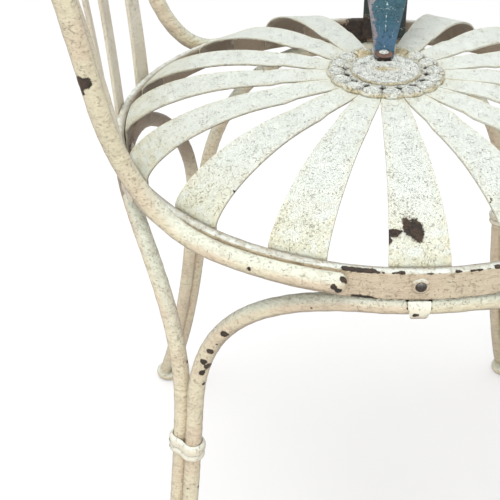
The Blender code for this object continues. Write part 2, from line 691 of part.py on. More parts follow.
def make_foot(corner, bearing, parent):
    """A round pad with a rounded edge under a pair of legs."""
    height, radius, turn = FOOT_HEIGHT, FOOT_RADIUS, FOOT_ROUND
    profile = [(0.0, height), (radius - turn, height), (radius - 0.3 * turn, height - 0.3 * turn),
               (radius, height - turn), (radius, turn), (radius - 0.3 * turn, 0.3 * turn),
               (radius - turn, 0.0), (0.0, 0.0)]
    points, faces = turned(profile, 20)
    name = f"foot_{corner}"
    foot = mesh_object(name, points, faces, rod_paint(name), parent)
    foot.location = on_circle(leg_radius(LEG_END, LEG_FLARE_POWER[corner]), bearing, 0.0)


# Assembly

def centre_on_floor(parent):
    """Move the chair so that the middle of its bounding box lies over the origin."""
    bpy.context.view_layer.update()
    corners = [thing.matrix_world @ Vector(corner) for thing in parent.children
               if not thing.hide_render for corner in thing.bound_box]
    low = [min(c[axis] for c in corners) for axis in range(3)]
    high = [max(c[axis] for c in corners) for axis in range(3)]
    parent.location = (-(low[0] + high[0]) / 2, -(low[1] + high[1]) / 2, -low[2])
    bpy.context.view_layer.update()


def build():
    clear_scene()
    chair = bpy.data.objects.new("chair", None)
    bpy.context.collection.objects.link(chair)
    make_ring(chair)
    for number in range(1, SLAT_COUNT + 1):
        if number != REPLACED_SLAT:
            make_seat_slat(number, chair)
    make_hub(chair)
    make_replacement_strip(chair)
    hoop = make_hoop(chair)
    for index, bearing in enumerate(BACK_SLAT_ANGLES, 1):
        make_back_slat(index, bearing, hoop, chair)
    for side in ARCH_BEARING:
        make_arch(side, chair)
        make_clip(side, chair)
    for corner, bearing in CORNERS.items():
        make_collar(corner, bearing, chair)
        make_foot(corner, bearing, chair)
    centre_on_floor(chair)


build()
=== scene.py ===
# %% [markdown]
# # A round garden chair under old, peeling paint
#
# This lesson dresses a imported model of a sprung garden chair. The model gives the frame: every
# piece made here takes the place of one of its parts. Each shape is a grid of points computed from
# a short formula, and each paint is a mixture of procedural patterns.
#
# The chair faces -Y. Its back stands at +Y, and +X is on the sitter's left hand.

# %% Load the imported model
from math import atan2, cos, pi, radians, sin, tan

import bpy
import bmesh
import numpy as np
from mathutils import Matrix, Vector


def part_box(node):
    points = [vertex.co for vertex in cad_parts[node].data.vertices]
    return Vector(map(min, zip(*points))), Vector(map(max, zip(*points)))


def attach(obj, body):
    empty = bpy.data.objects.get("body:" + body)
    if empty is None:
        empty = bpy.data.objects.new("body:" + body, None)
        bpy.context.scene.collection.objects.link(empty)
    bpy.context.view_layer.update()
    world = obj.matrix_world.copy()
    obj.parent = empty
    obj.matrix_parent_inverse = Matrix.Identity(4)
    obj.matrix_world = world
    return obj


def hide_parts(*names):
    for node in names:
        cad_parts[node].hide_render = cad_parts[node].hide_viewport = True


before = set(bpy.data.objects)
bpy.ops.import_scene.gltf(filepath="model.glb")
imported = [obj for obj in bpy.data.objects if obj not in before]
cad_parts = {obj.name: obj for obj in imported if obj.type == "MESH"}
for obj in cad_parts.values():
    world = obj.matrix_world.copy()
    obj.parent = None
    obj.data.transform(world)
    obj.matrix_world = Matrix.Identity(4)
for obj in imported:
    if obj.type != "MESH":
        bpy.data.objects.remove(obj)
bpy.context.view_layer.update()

ring_low, ring_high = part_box("seat_ring")
CENTRE = np.array([(ring_low[0] + ring_high[0]) / 2, (ring_low[1] + ring_high[1]) / 2, 0.0])
print("ring centre", CENTRE.round(4))

# %% [markdown]
# ## Sizes
#
# Lengths are in metres, bearings are in degrees, and heights are measured from the floor. The
# ring's top edge is the level that all else hangs from. Each slat was bent and knocked on its own
# over the years. So LIFT, TURN, KNOCK and TWIST hold a small change for each number: up in the
# middle, round the hub, sideways, and tilted about its own line.

# %% Sizes of the chair
CLEAR = 0.0003
RING_TOP = 0.4165
RING_BAND = 0.0204
RING_OUT = 0.200
RING_IN = 0.193
RIVET_DROP = 0.0098
TAB = RING_IN - 0.0002 - CLEAR - 0.0008

SLATS = 16
SLAT_STEP = 360.0 / SLATS
MISSING = 9
SLAT_THICK = 0.0016
CREST = 0.085
RISE = 0.0342
HUB_EDGE = 0.0432
SLAT_LEVEL = RING_TOP + RISE + 0.0016
LIFT = {2: .0010, 3: .0017, 4: .0012, 5: .0006, 6: -.0022, 7: -.0028, 8: -.0006, 10: -.0009,
        11: .0008, 14: .0012, 15: .0020}
TURN = {4: -1.2, 5: 1.8, 6: 1.2, 7: -1.4, 8: 0.5, 10: -4.6, 11: -5.2, 12: -5.0, 13: -3.9,
        14: -0.3}
KNOCK = {3: -0.9, 5: -2.6, 6: -0.6, 7: -2.7, 8: -3.9, 10: 1.2, 11: 0.4}
TWIST = {4: .0007, 8: .0024, 10: .0006, 11: .0010}

ROSETTE_THICK = 0.0020
CAP_THICK = 0.0016
STRIP_THICK = 0.0018
HUB_LEVEL = SLAT_LEVEL + SLAT_THICK / 2 + CLEAR
CAP_LEVEL = HUB_LEVEL + ROSETTE_THICK + CLEAR
STRIP_LEVEL = CAP_LEVEL + CAP_THICK + CLEAR + STRIP_THICK / 2
STRIP_RISE = 0.088
HOOP_ROD = 0.0132
HOOP_LEAN = 0.169
LEG_ROD = 0.0124
PITCH = LEG_ROD + CLEAR
ARCH_LEVEL = RING_TOP - RING_BAND - CLEAR - LEG_ROD / 2
LEG_END = 0.0093
LEVEL_RUN = 8.0
FLARE = {"back_left": 3.45, "back_right": 6.0, "front_right": 4.0, "front_left": 3.45}
DROP = {"right": 0.122, "back": 0.138, "left": 0.125, "front": 0.132}
BEARING = {"right": 180.0, "back": 90.0, "left": 0.0, "front": -90.0}
CORNER = {"back_left": 45.0, "back_right": 135.0, "front_right": 225.0, "front_left": 315.0}
ENDS = {"right": ("back_right", "front_right"), "back": ("back_left", "back_right"),
        "left": ("front_left", "back_left"), "front": ("front_right", "front_left")}
print("seat", 2 * RING_OUT, "m across, its ring", RING_TOP, "m high,", len(ENDS), "arches")

# %% [markdown]
# ## Damage
#
# Each chip is a place on the chair in millimetres from the ring's centre, with its radius. The
# paint is gone where a point's distance to a chip, over the radius, is small. Along the ring's
# sharp edges the paint has flaked in broken lines, which rows of small chips make.

# %% Chips in the paint
CHIPS = [(-175, 3, 432, 6.5), (-169, 5, 434, 4.5), (-180, 2, 429, 4.5), (-177, 16, 430, 3.2),
         (-182, 18, 427, 2.2), (-103, 114, 442, 1.6), (-133, 112, 434, 1.6), (-204, 2, 388, 2.0),
         (-204, -2, 392, 1.4), (-200, -5, 394, 1.6), (-206, 53, 412, 2.2), (-204, 48, 416, 2.0),
         (-203, 46, 414, 2.0), (-207, 50, 409, 2.2), (-187, 103, 412, 1.6), (-190, 93, 406, 1.2),
         (-159, 197, 523, 4.4), (-161, 194, 523, 3.8), (-157, 197, 516, 2.4), (-191, 64, 385, 1.2),
         (-167, 119, 345, 3.1), (-162, 129, 325, 3.3), (-159, 134, 314, 3.0), (-157, 131, 309, 3.2),
         (-158, 135, 303, 3.0), (-156, 133, 291, 2.8), (-163, 124, 334, 1.2), (-158, 142, 192, 1.5),
         (-161, 149, 193, 1.0), (-137, 147, 297, 1.6), (-147, 161, 230, 1.6), (-147, 162, 224, 1.2),
         (193, -3, 408, 14), (190, 12, 405, 9), (-147, 165, 285, 1.2), (-136, 150, 260, 1.2),
         (-147, 143, 415, 2.0), (-144, 146, 412, 1.6), (-201, 7.0, 391, 1.1),
         (-201, -7.0, 391, 1.3), (-202, 6.0, 387, 1.2), (-202, -6.0, 387, 1.2),
         (-198, 7.2, 394.5, 1.4), (-198, -7.2, 394.5, 1.4), (14, -4, 457.6, 2.2),
         (14, 3, 457.6, 2.2), (14, -1, 457.6, 2.2), (-99, 161, 432, 1.2), (-66, 108, 448, 1.0),
         (-113, -50, 441, 1.1), (-35, -140, 436, 1.6), (-30, -152, 433, 2.0),
         (-40, -128, 439, 1.3)]

# Broken lines along the ring: first and last bearing, radius, height, and the chips' radius.
RING_LINES = [(166.6, 172.0, 198.6, 416.5, 1.9), (172.2, 175.0, 199.8, 416.2, 0.8),
              (175.4, 177.2, 199.4, 416.4, 1.3), (179.0, 183.5, 200.0, 416.0, 0.7),
              (186.0, 187.2, 199.5, 416.4, 1.2), (188.6, 192.0, 199.8, 416.2, 0.9),
              (192.4, 196.5, 199.4, 416.4, 1.4), (197.2, 201.0, 199.8, 416.2, 1.1),
              (168.5, 172.0, 199.4, 397.0, 1.7), (172.2, 177.6, 199.8, 396.3, 0.9),
              (182.5, 190.0, 199.8, 396.2, 0.7), (118.0, 124.0, 198.6, 416.5, 1.2)]
for first, last, radius, height, chip in RING_LINES:
    for bearing in np.arange(first, last, 0.35):
        if chip > 1.5 or sin(9.7 * bearing) + sin(4.1 * bearing) > -0.1:
            CHIPS.append((radius * cos(radians(bearing)), radius * sin(radians(bearing)), height,
                          chip))
print(len(CHIPS), "chips")

# %% [markdown]
# ## Meshes from grids
#
# Every piece here is bar, rod or sheet that was bent, so each is a section carried along a line.
# Curves with a bevel could do that too, but a grid of points can also ripple like thick paint and
# carry numbers. `skin` joins a grid of loops into a closed skin and turns its faces out. It stores
# these numbers for the paints: `wear`, which is 1 on a chip and falls to 0 beside it, `edge`, which
# is 1 along sharp edges, `tint`, which is above 0 where dirt gathers and below 0 where the under
# colour goes, on a face that was hardly painted and as painted shade on shaded faces, `hole`, which
# darkens the open inside of a pressed hole and the grooves round the hub's petals as painted shade,
# and a thin line inside the cap's rim, and `line`, which is 1 along the middle of a strip.

# %% Grid tools
UP = np.array((0.0, 0.0, 1.0))
SHARP_ANGLE = radians(50)
PATH_GAP = 0.002
ROD_SIDES = 36
PAINT_LUMP = 0.00016


def new_object(name, data):
    thing = bpy.data.objects.new(name, data)
    bpy.context.collection.objects.link(thing)
    return thing


def skin(name, loops, closed=False, **numbers):
    """A closed skin: point (i, j) is loops[i][j], and faces join (i, j) to (i+1, j+1)."""
    loops = np.asarray(loops, dtype=float)
    rows, size = loops.shape[:2]
    points = loops.reshape(-1, 3) + CENTRE
    grid = np.arange(rows * size).reshape(rows, size)
    upper = np.roll(grid, -1, axis=0) if closed else grid[1:]
    lower = grid if closed else grid[:-1]
    quads = np.stack([lower, np.roll(lower, -1, 1), np.roll(upper, -1, 1), upper], -1)
    faces = quads.reshape(-1, 4).tolist()
    if not closed:
        faces += [grid[0][::-1].tolist(), grid[-1].tolist()]
    mesh = bpy.data.meshes.new(name)
    mesh.from_pydata(points.tolist(), [], faces)
    for key, values in numbers.items():
        add_number(mesh, key, np.broadcast_to(values, (rows, size)).ravel())
    return finish_mesh(name, mesh)


def add_number(mesh, name, values):
    layer = mesh.attributes.new(name, 'FLOAT', 'POINT')
    layer.data.foreach_set("value", np.ascontiguousarray(values, dtype=np.float32))


def finish_mesh(name, mesh):
    """Turn the faces out and smooth them. Wear is 1 on a chip and 0 at twice its radius."""
    work = bmesh.new()
    work.from_mesh(mesh)
    bmesh.ops.remove_doubles(work, verts=work.verts, dist=1e-6)
    bmesh.ops.recalc_face_normals(work, faces=work.faces)
    work.to_mesh(mesh)
    work.free()
    mesh.shade_smooth()
    mesh.set_sharp_from_angle(angle=SHARP_ANGLE)
    count = len(mesh.vertices)
    points = np.empty(count * 3)
    mesh.vertices.foreach_get("co", points)
    points = points.reshape(-1, 3) - CENTRE
    wear = np.zeros(count)
    for x, y, z, radius in CHIPS:
        away = np.linalg.norm(points - np.array((x, y, z)) / 1000, axis=1) / (radius / 1000)
        wear = np.maximum(wear, np.clip(2.0 - away, 0.0, 2.0) / 2)
    add_number(mesh, "wear", wear)
    return new_object(name, mesh)


def unit(vector):
    vector = np.asarray(vector, dtype=float)
    return vector / np.linalg.norm(vector, axis=-1, keepdims=True)


def polar(radius, bearing, height):
    """Points at a distance from the middle, a bearing in degrees and a height."""
    a = np.radians(bearing)
    return np.stack(np.broadcast_arrays(radius * np.cos(a), radius * np.sin(a), height), -1)


def full_turn(steps):
    """Even angles round a circle, in radians."""
    return np.linspace(0, 2 * pi, steps, endpoint=False)


def round_bar(width, thick, corner, steps=3):
    """Points round a flat bar's section: quarter-circle corners, and more points on two sides."""
    turns = np.radians(np.linspace(0, 90, steps + 1) + np.array([[0], [90], [180], [270]]))
    middles = np.array([(1, 1), (-1, 1), (-1, -1), (1, -1)]) * (width / 2 - corner,
                                                               thick / 2 - corner)
    corners = middles[:, None] + corner * np.stack((np.cos(turns), np.sin(turns)), -1)
    shares = np.array((0.08, 0.25, 0.5, 0.75, 0.92))
    flat = np.column_stack(((width / 2 - corner) * (1 - 2 * shares), np.full(5, thick / 2)))
    points = np.vstack((corners[0], flat, corners[1], corners[2], -flat, corners[3]))
    bend, side = np.ones(steps + 1), np.array((0.35, 0.0, 0.0, 0.0, 0.35))
    return points, np.concatenate((bend, side, bend, bend, side, bend))


def even_path(points):
    """The same path with even, close points, its corners eased by averaging neighbours."""
    along = np.concatenate(([0.0], np.cumsum(np.linalg.norm(np.diff(points, axis=0), axis=1))))
    places = np.linspace(0, along[-1], int(along[-1] / PATH_GAP) + 2)
    path = np.column_stack([np.interp(places, along, points[:, i]) for i in range(3)])
    for _ in range(4):
        path[1:-1] = (path[:-2] + 2 * path[1:-1] + path[2:]) / 4
    return path


def ripple(points, size):
    """Slow unevenness of thick paint: three crossed waves, between -1 and 1."""
    x, y, z = points[..., 0] / size, points[..., 1] / size, points[..., 2] / size
    return (np.sin(x * 1.3 + 2.1 * y + 0.7 * z) + np.sin(2.3 * x - y + 1.9 * z + 1.0)
            + np.sin(0.6 * x + 1.1 * y - 2.7 * z + 2.0)) / 3


def tube(name, path, radius, domed=True, tint=0.0):
    """A rod: circles square to the path, radius uneven by a small ripple, domed ends."""
    tangent = unit(np.gradient(path, axis=0))
    beside = np.empty_like(path)
    side = unit(np.cross(tangent[0], UP))
    for i, ahead in enumerate(tangent):
        beside[i] = side = unit(side - ahead * np.dot(side, ahead))
    above = np.cross(tangent, beside)[:, None]
    angles = full_turn(ROD_SIDES)[:, None]
    rays = np.cos(angles) * beside[:, None] + np.sin(angles) * above
    centre = path[:, None]
    uneven = PAINT_LUMP * (ripple(centre + rays * radius, 0.004) - 1)
    loops = centre + rays * (radius + uneven)[..., None]
    if domed:
        turns = np.radians((25, 50, 70, 84))[:, None, None]
        shrink, reach = np.cos(turns), 0.75 * radius * np.sin(turns)
        first = path[0] + (loops[0] - path[0]) * shrink - tangent[0] * reach
        last = path[-1] + (loops[-1] - path[-1]) * shrink + tangent[-1] * reach
        loops = np.concatenate((first[::-1], loops, last))
    return skin(name, loops, tint=tint)


def spun(name, profile, steps, middle):
    """A turned piece: a profile of (radius, height) spun round an upright line."""
    radius, height = np.array(profile).T[:, :, None]
    bearings = np.degrees(full_turn(steps))
    return skin(name, middle + polar(np.maximum(radius, 1e-5), bearings, height))


def place(piece, material, slot, *nodes):
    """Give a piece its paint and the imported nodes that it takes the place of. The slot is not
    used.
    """
    piece.data.materials.append(material)
    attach(piece, "root")
    if nodes:
        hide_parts(*nodes)
    return piece


print(ROD_SIDES, "sides round a rod, and a ring of points every", 1000 * PATH_GAP, "mm")

# %% [markdown]
# ## Paints
#
# A real old coat is layered: dark metal, the coat, its dirt and its stains. Pictures of paint could
# be laid on the pieces, but noise needs no unwrapping and never repeats. Each helper below adds a
# node or a few and gives back an output. Patterns lie on object coordinates, so they stay put.

# %% Paint tools
def add_node(tree, kind, **values):
    node = tree.nodes.new(kind)
    for key, value in values.items():
        if key.startswith("i_"):
            node.inputs[key[2:].replace("_", " ")].default_value = value
        else:
            setattr(node, key, value)
    return node


def feed(tree, value, socket):
    """Give an input a number, a colour, or another node's output."""
    if isinstance(value, (int, float)):
        socket.default_value = value
    elif isinstance(value, tuple):
        socket.default_value = (*value, 1.0)
    else:
        tree.links.new(value, socket)


def noise(tree, where, scale, detail=4.0, rough=0.55, stretch=None):
    """Noise between 0 and 1 on a set of coordinates, stretched along an axis if asked."""
    if stretch is not None:
        mapping = add_node(tree, 'ShaderNodeMapping', i_Scale=stretch)
        tree.links.new(where, mapping.inputs["Vector"])
        where = mapping.outputs["Vector"]
    node = add_node(tree, 'ShaderNodeTexNoise', i_Detail=detail, i_Roughness=rough)
    feed(tree, scale, node.inputs["Scale"])
    tree.links.new(where, node.inputs["Vector"])
    return node.outputs["Fac"]


def ramp(tree, value, low, high):
    """0 below low, 1 above high (or the reverse where low is greater), smooth between."""
    node = add_node(tree, 'ShaderNodeMapRange', interpolation_type='SMOOTHSTEP',
                    i_From_Min=min(low, high), i_From_Max=max(low, high),
                    i_To_Min=float(low > high), i_To_Max=float(low < high))
    tree.links.new(value, node.inputs["Value"])
    return node.outputs["Result"]


def maths(tree, operation, a, b):
    node = add_node(tree, 'ShaderNodeMath', operation=operation)
    for socket, value in zip(node.inputs, (a, b)):
        feed(tree, value, socket)
    return node.outputs[0]


def times(tree, *values):
    """The product of several values."""
    result = values[0]
    for value in values[1:]:
        result = maths(tree, 'MULTIPLY', result, value)
    return result


def blend(tree, mask, below, above, mode='MIX'):
    """The colour above shows over the colour below by a mask. Inputs 6 and 7 are its colours."""
    node = add_node(tree, 'ShaderNodeMix', data_type='RGBA', blend_type=mode)
    for socket, value in zip((node.inputs[0], node.inputs[6], node.inputs[7]),
                             (mask, below, above)):
        feed(tree, value, socket)
    return node.outputs[2]


def lines_of(tree, value, width):
    """1 along the lines where a noise passes its middle value, which wind like cracks."""
    away = maths(tree, 'ABSOLUTE', maths(tree, 'SUBTRACT', value, 0.5), 0.0)
    return ramp(tree, away, width, 0.0)


def attribute(tree, name):
    return add_node(tree, 'ShaderNodeAttribute', attribute_name=name).outputs["Fac"]


def screen_colour(red, green, blue):
    """Linear colour of an 8-bit screen colour: a power of 2.4, and a straight line near black."""
    return tuple((v / 255 / 12.92) if v <= 10 else ((v / 255 + 0.055) / 1.055) ** 2.4
                 for v in (red, green, blue))


def new_material(name):
    material = bpy.data.materials.new(name)
    material.use_nodes = True
    return material, material.node_tree, material.node_tree.nodes["Principled BSDF"]


DARK_STEEL, RUSTED_STEEL = screen_colour(58, 52, 47), screen_colour(78, 64, 54)
# On the next line, the second colour is painted shade: the dark inside of open holes and grooves.
CHIP_RIM, HOLE_SHADE = screen_colour(158, 138, 108), screen_colour(34, 28, 22)
PALE_SCRATCH = screen_colour(196, 208, 206)
print("dark steel is", [round(part, 3) for part in DARK_STEEL], "in linear light")

# %% [markdown]
# ## One group for weathering and painted light
#
# Cream or blue, every paint on this chair has cracked, pitted and chipped in the same way, and each
# takes the same painted light: a top colour on faces that point up, and painted shade on faces that
# point down. Each material could repeat those nodes, but a change would then have to be made many
# times. So the ageing and the painted light are one node group that gives a colour, a roughness and
# a height, and each material places it with its own colours and amounts.

# %% The weathering and painted light group
# Top is painted light on faces that point up, and Under is painted shade under things.
COLOURS = ("Coat", "Second", "Top", "Under shade", "Stain", "Dirt", "Rim", "Scratch")
AMOUNTS = ("Up", "Specks", "Ridges", "Crazing", "Squiggle", "Cover", "Mottle", "Top amount",
           "Torn", "Scratched", "Rough")


def coat_colour(tree, given, where, tinted, noises):
    """Two mixed coats, painted top light on upward faces, painted shade below, then mottling and
    stain.
    """
    up, middle, fine = given["Up"], noises["middle"], noises["fine"]
    colour = blend(tree, ramp(tree, noise(tree, where, 22.0, 3.0), 0.38, 0.64), given["Coat"],
                   given["Second"])
    # Painted light and shade: the top colour on faces that point up, the under colour on faces that
    # point down, and the under colour on faces with a tint below 0: hardly painted faces, and faces
    # given painted shade.
    top = times(tree, ramp(tree, up, 0.05, 0.85), given["Top amount"])
    colour = blend(tree, top, colour, given["Top"])
    colour = blend(tree, ramp(tree, up, -0.15, -0.75), colour, given["Under shade"])
    colour = blend(tree, ramp(tree, tinted, -0.15, -0.85), colour, given["Under shade"])
    darker = blend(tree, 1.0, given["Second"], (0.78, 0.78, 0.78), 'MULTIPLY')
    mottled = times(tree, ramp(tree, middle, 0.5, 0.72), given["Mottle"])
    colour = blend(tree, mottled, colour, darker)
    soft = times(tree, maths(tree, 'MAXIMUM', tinted, 0.0), ramp(tree, middle, 0.28, 0.60))
    torn = maths(tree, 'ADD', maths(tree, 'ADD', tinted, times(tree, middle, 2.4)), fine)
    torn = times(tree, ramp(tree, torn, 2.06, 2.16), ramp(tree, tinted, 0.02, 0.08))
    keep = maths(tree, 'SUBTRACT', 1.0, given["Torn"])
    patchy = maths(tree, 'ADD', times(tree, soft, keep), times(tree, torn, given["Torn"]))
    return blend(tree, patchy, colour, given["Stain"])


def add_dirt(tree, given, where, colour, noises, edge):
    """Winding cracks, fine dots, pits, valleys between brush marks, and edges: edge wear, which on
    the slats, hub and back slats is a painted highlight.
    """
    middle, fine, thick = noises["middle"], noises["fine"], noises["thick"]
    worms = lines_of(tree, noise(tree, where, given["Squiggle"], 3.0, 0.6), 0.030)
    patches = maths(tree, 'SUBTRACT', noise(tree, where, 95.0, 4.0, 0.6), given["Cover"])
    worms = times(tree, worms, ramp(tree, patches, 0.0, 0.22))
    dots = ramp(tree, maths(tree, 'ADD', noises["grit"], times(tree, middle, 0.4)), 0.80, 0.90)
    pits = ramp(tree, maths(tree, 'ADD', fine, times(tree, middle, 0.35)), 0.76, 0.84)
    valley = times(tree, ramp(tree, thick, 0.52, 0.36), given["Ridges"], 0.13)
    colour = blend(tree, valley, colour, given["Dirt"])
    colour = blend(tree, times(tree, worms, given["Crazing"]), colour, given["Dirt"])
    colour = blend(tree, times(tree, dots, given["Specks"], 0.45), colour, given["Dirt"])
    colour = blend(tree, times(tree, pits, given["Specks"]), colour, given["Dirt"])
    # The rim colour is edge wear, and on the slats, hub and back slats, where it is lighter than
    # the coat, a painted highlight along the edges.
    rim = times(tree, edge, ramp(tree, middle, 0.42, 0.60), 0.45)
    return blend(tree, rim, colour, given["Rim"]), worms, pits


def add_scratches(tree, given, where, colour, fine):
    """Thin pale scratches, and a broken pale line along the middle."""
    thin = lines_of(tree, noise(tree, where, 70.0, 2.0, 0.5), 0.010)
    thin = times(tree, thin, ramp(tree, fine, 0.52, 0.60))
    dashes = times(tree, ramp(tree, attribute(tree, "line"), 0.92, 0.96),
                   ramp(tree, noise(tree, where, 420.0, 1.0), 0.53, 0.58))
    both = times(tree, maths(tree, 'MAXIMUM', thin, dashes), given["Scratched"])
    return blend(tree, both, colour, given["Scratch"])


def bare_masks(tree, where, edge):
    """1 where the paint is gone: on the chips, whose outlines noise tears, and on rare spots."""
    torn = maths(tree, 'SUBTRACT', noise(tree, where, 330.0, 6.0, 0.7), 0.5)
    ragged = maths(tree, 'ADD', attribute(tree, "wear"), times(tree, torn, 0.55))
    spots = maths(tree, 'ADD', noise(tree, where, 75.0, 6.0, 0.72), times(tree, edge, 0.05))
    bare = maths(tree, 'MAXIMUM', ramp(tree, ragged, 0.50, 0.56), ramp(tree, spots, 0.735, 0.75))
    return bare, maths(tree, 'MAXIMUM', ramp(tree, ragged, 0.40, 0.50), bare)


def make_weathering_and_shading():
    group = bpy.data.node_groups.new("weathering", 'ShaderNodeTree')
    for name in COLOURS:
        group.interface.new_socket(name=name, in_out='INPUT', socket_type='NodeSocketColor')
    for name in AMOUNTS:
        group.interface.new_socket(name=name, in_out='INPUT', socket_type='NodeSocketFloat')
    for name, kind in (("Colour", "Color"), ("Roughness", "Float"), ("Height", "Float")):
        group.interface.new_socket(name=name, in_out='OUTPUT', socket_type=f"NodeSocket{kind}")
    given = add_node(group, 'NodeGroupInput').outputs
    where = add_node(group, 'ShaderNodeTexCoord').outputs["Object"]
    edge, tinted = attribute(group, "edge"), attribute(group, "tint")
    noises = {"middle": noise(group, where, 120.0, 5.0, 0.6),
              "fine": noise(group, where, 620.0, 4.0, 0.65),
              "grit": noise(group, where, 1300.0, 2.0, 0.7),
              "thick": noise(group, where, 125.0, 4.0, 0.6, (1.0, 1.0, 3.0))}
    colour = coat_colour(group, given, where, tinted, noises)
    colour, worms, pits = add_dirt(group, given, where, colour, noises, edge)
    colour = add_scratches(group, given, where, colour, noises["fine"])
    bare, halo = bare_masks(group, where, edge)
    metal = blend(group, ramp(group, noise(group, where, 180.0, 5.0, 0.6), 0.42, 0.62),
                  DARK_STEEL, RUSTED_STEEL)
    colour = blend(group, times(group, halo, 0.35), colour, CHIP_RIM)
    colour = blend(group, bare, colour, metal)
    # Painted shade inside the pressed holes and in the hub's grooves.
    colour = blend(group, attribute(group, "hole"), colour, HOLE_SHADE)
    rough = maths(group, 'ADD', times(group, noises["fine"], 0.25), given["Rough"])
    rough = maths(group, 'ADD', rough, maths(group, 'SUBTRACT', times(group, bare, 0.30), 0.10))
    height = maths(group, 'ADD', times(group, noises["thick"], given["Ridges"]),
                   times(group, noises["fine"], 0.22))
    height = maths(group, 'ADD', height, times(group, noises["grit"], 0.06))
    groove = maths(group, 'MINIMUM', times(group, given["Crazing"], 0.4), 0.3)
    for mask, depth in ((bare, 0.8), (worms, groove), (pits, 0.30)):
        height = maths(group, 'SUBTRACT', height, times(group, mask, depth))
    out = add_node(group, 'NodeGroupOutput').inputs
    for socket, value in zip(out, (colour, rough, height)):
        group.links.new(value, socket)
    return group


WEATHERING_AND_SHADING = make_weathering_and_shading()
print(len(WEATHERING_AND_SHADING.nodes), "nodes in the weathering group")

# %% [markdown]
# ## The paints
#
# Each paint places the group and adds only what the group can't hold: the shader, and painted shade
# where a rod's side turns away from the eye. The cream has yellowed unlike on the slats, the rods,
# the ring and the hub, and the strip is blue, so each has its own colours.

# %% One paint
BUMP_DEPTH = 0.0016
SHINE = 0.35


def old_paint(name, coat, second, top_light, under, specks=0.5, ridges=0.5, crazing=0.3,
              stain=screen_colour(200, 190, 160), rough=0.55, top_blend=1.0, squiggle=260.0,
              dirt=screen_colour(128, 116, 96), metallic=0.0, cover=0.40,
              rim_colour=screen_colour(178, 164, 134), torn=0.0, scratched=0.0, mottle=0.20,
              silhouette_shade=0.0):
    """A coat with its own colours, and painted shade where the surface turns away from the eye."""
    material, tree, shader = new_material(name)
    aged = add_node(tree, 'ShaderNodeGroup', node_tree=WEATHERING_AND_SHADING)
    for key, value in zip(COLOURS, (coat, second, top_light, under, stain, dirt, rim_colour,
                                    PALE_SCRATCH)):
        feed(tree, value, aged.inputs[key])
    normal = add_node(tree, 'ShaderNodeNewGeometry').outputs["Normal"]
    facing = add_node(tree, 'ShaderNodeSeparateXYZ')
    tree.links.new(normal, facing.inputs[0])
    for key, value in zip(AMOUNTS, (facing.outputs["Z"], specks, ridges, crazing, squiggle, cover,
                                    mottle, top_blend, torn, scratched, rough)):
        feed(tree, value, aged.inputs[key])
    colour = aged.outputs["Colour"]
    # Painted shade: the under colour darkens the sides that turn away from the eye, like shaded
    # rims.
    if silhouette_shade > 0.0:
        turned = add_node(tree, 'ShaderNodeLayerWeight', i_Blend=0.5).outputs["Facing"]
        colour = blend(tree, times(tree, ramp(tree, turned, 0.50, 0.95), silhouette_shade), colour, under)
    tree.links.new(colour, shader.inputs["Base Color"])
    tree.links.new(aged.outputs["Roughness"], shader.inputs["Roughness"])
    shader.inputs["Specular IOR Level"].default_value = SHINE
    shader.inputs["Metallic"].default_value = metallic
    bump = add_node(tree, 'ShaderNodeBump', i_Strength=1.0, i_Distance=BUMP_DEPTH)
    tree.links.new(aged.outputs["Height"], bump.inputs["Height"])
    tree.links.new(bump.outputs["Normal"], shader.inputs["Normal"])
    return material


# %% The chair's paints
# Below, each paint's third colour is painted light on faces that point up, and its fourth is
# painted shade under things and on turned-away sides. The slats' and hub's fourth colour is also
# their bare underside.
BARE_AND_SHADED_UNDER = screen_colour(138, 124, 106)
# The rim colours of the slats, hub and back slats are lighter than their coats: a painted highlight
# along their edges.
SLAT = old_paint("slat_paint", screen_colour(226, 230, 217), screen_colour(220, 224, 208),
                 screen_colour(229, 235, 227), BARE_AND_SHADED_UNDER, specks=0.36, ridges=0.16,
                 crazing=0.21, stain=screen_colour(222, 218, 184), rough=0.60, squiggle=760.0,
                 dirt=screen_colour(136, 134, 122), cover=0.24, mottle=0.06,
                 rim_colour=screen_colour(236, 230, 210))
ROD = old_paint("rod_paint", screen_colour(233, 224, 195), screen_colour(227, 210, 183),
                screen_colour(228, 234, 218), screen_colour(158, 142, 124), specks=0.22,
                ridges=1.6, crazing=0.07, rough=0.46, top_blend=0.85, mottle=0.10,
                dirt=screen_colour(160, 140, 114), silhouette_shade=0.55)
RING = old_paint("ring_paint", screen_colour(220, 206, 179), screen_colour(214, 197, 171),
                 screen_colour(232, 238, 230), screen_colour(118, 100, 84), specks=0.3,
                 ridges=1.8, crazing=0.08, rough=0.46, mottle=0.10, silhouette_shade=0.15,
                 dirt=screen_colour(160, 138, 112))
BAR = old_paint("bar_paint", screen_colour(224, 218, 202), screen_colour(214, 204, 186),
                screen_colour(236, 232, 212), screen_colour(166, 150, 130), specks=0.3,
                ridges=0.7, crazing=0.08, dirt=screen_colour(176, 162, 138), mottle=0.12,
                rim_colour=screen_colour(236, 226, 198))
COLLAR = old_paint("collar_paint", screen_colour(236, 232, 212), screen_colour(230, 222, 200),
                   screen_colour(238, 241, 230), screen_colour(168, 150, 128), specks=0.15,
                   ridges=0.10, silhouette_shade=0.5, crazing=0.06, rough=0.46, mottle=0.08,
                   dirt=screen_colour(160, 144, 118))
HUB = old_paint("hub_paint", screen_colour(219, 222, 210), screen_colour(212, 213, 196),
                screen_colour(228, 233, 226), BARE_AND_SHADED_UNDER, specks=0.80, ridges=0.40,
                crazing=0.80, stain=screen_colour(212, 198, 158), rough=0.60, squiggle=560.0,
                dirt=screen_colour(118, 117, 108), cover=0.20, mottle=0.10,
                rim_colour=screen_colour(222, 210, 172))
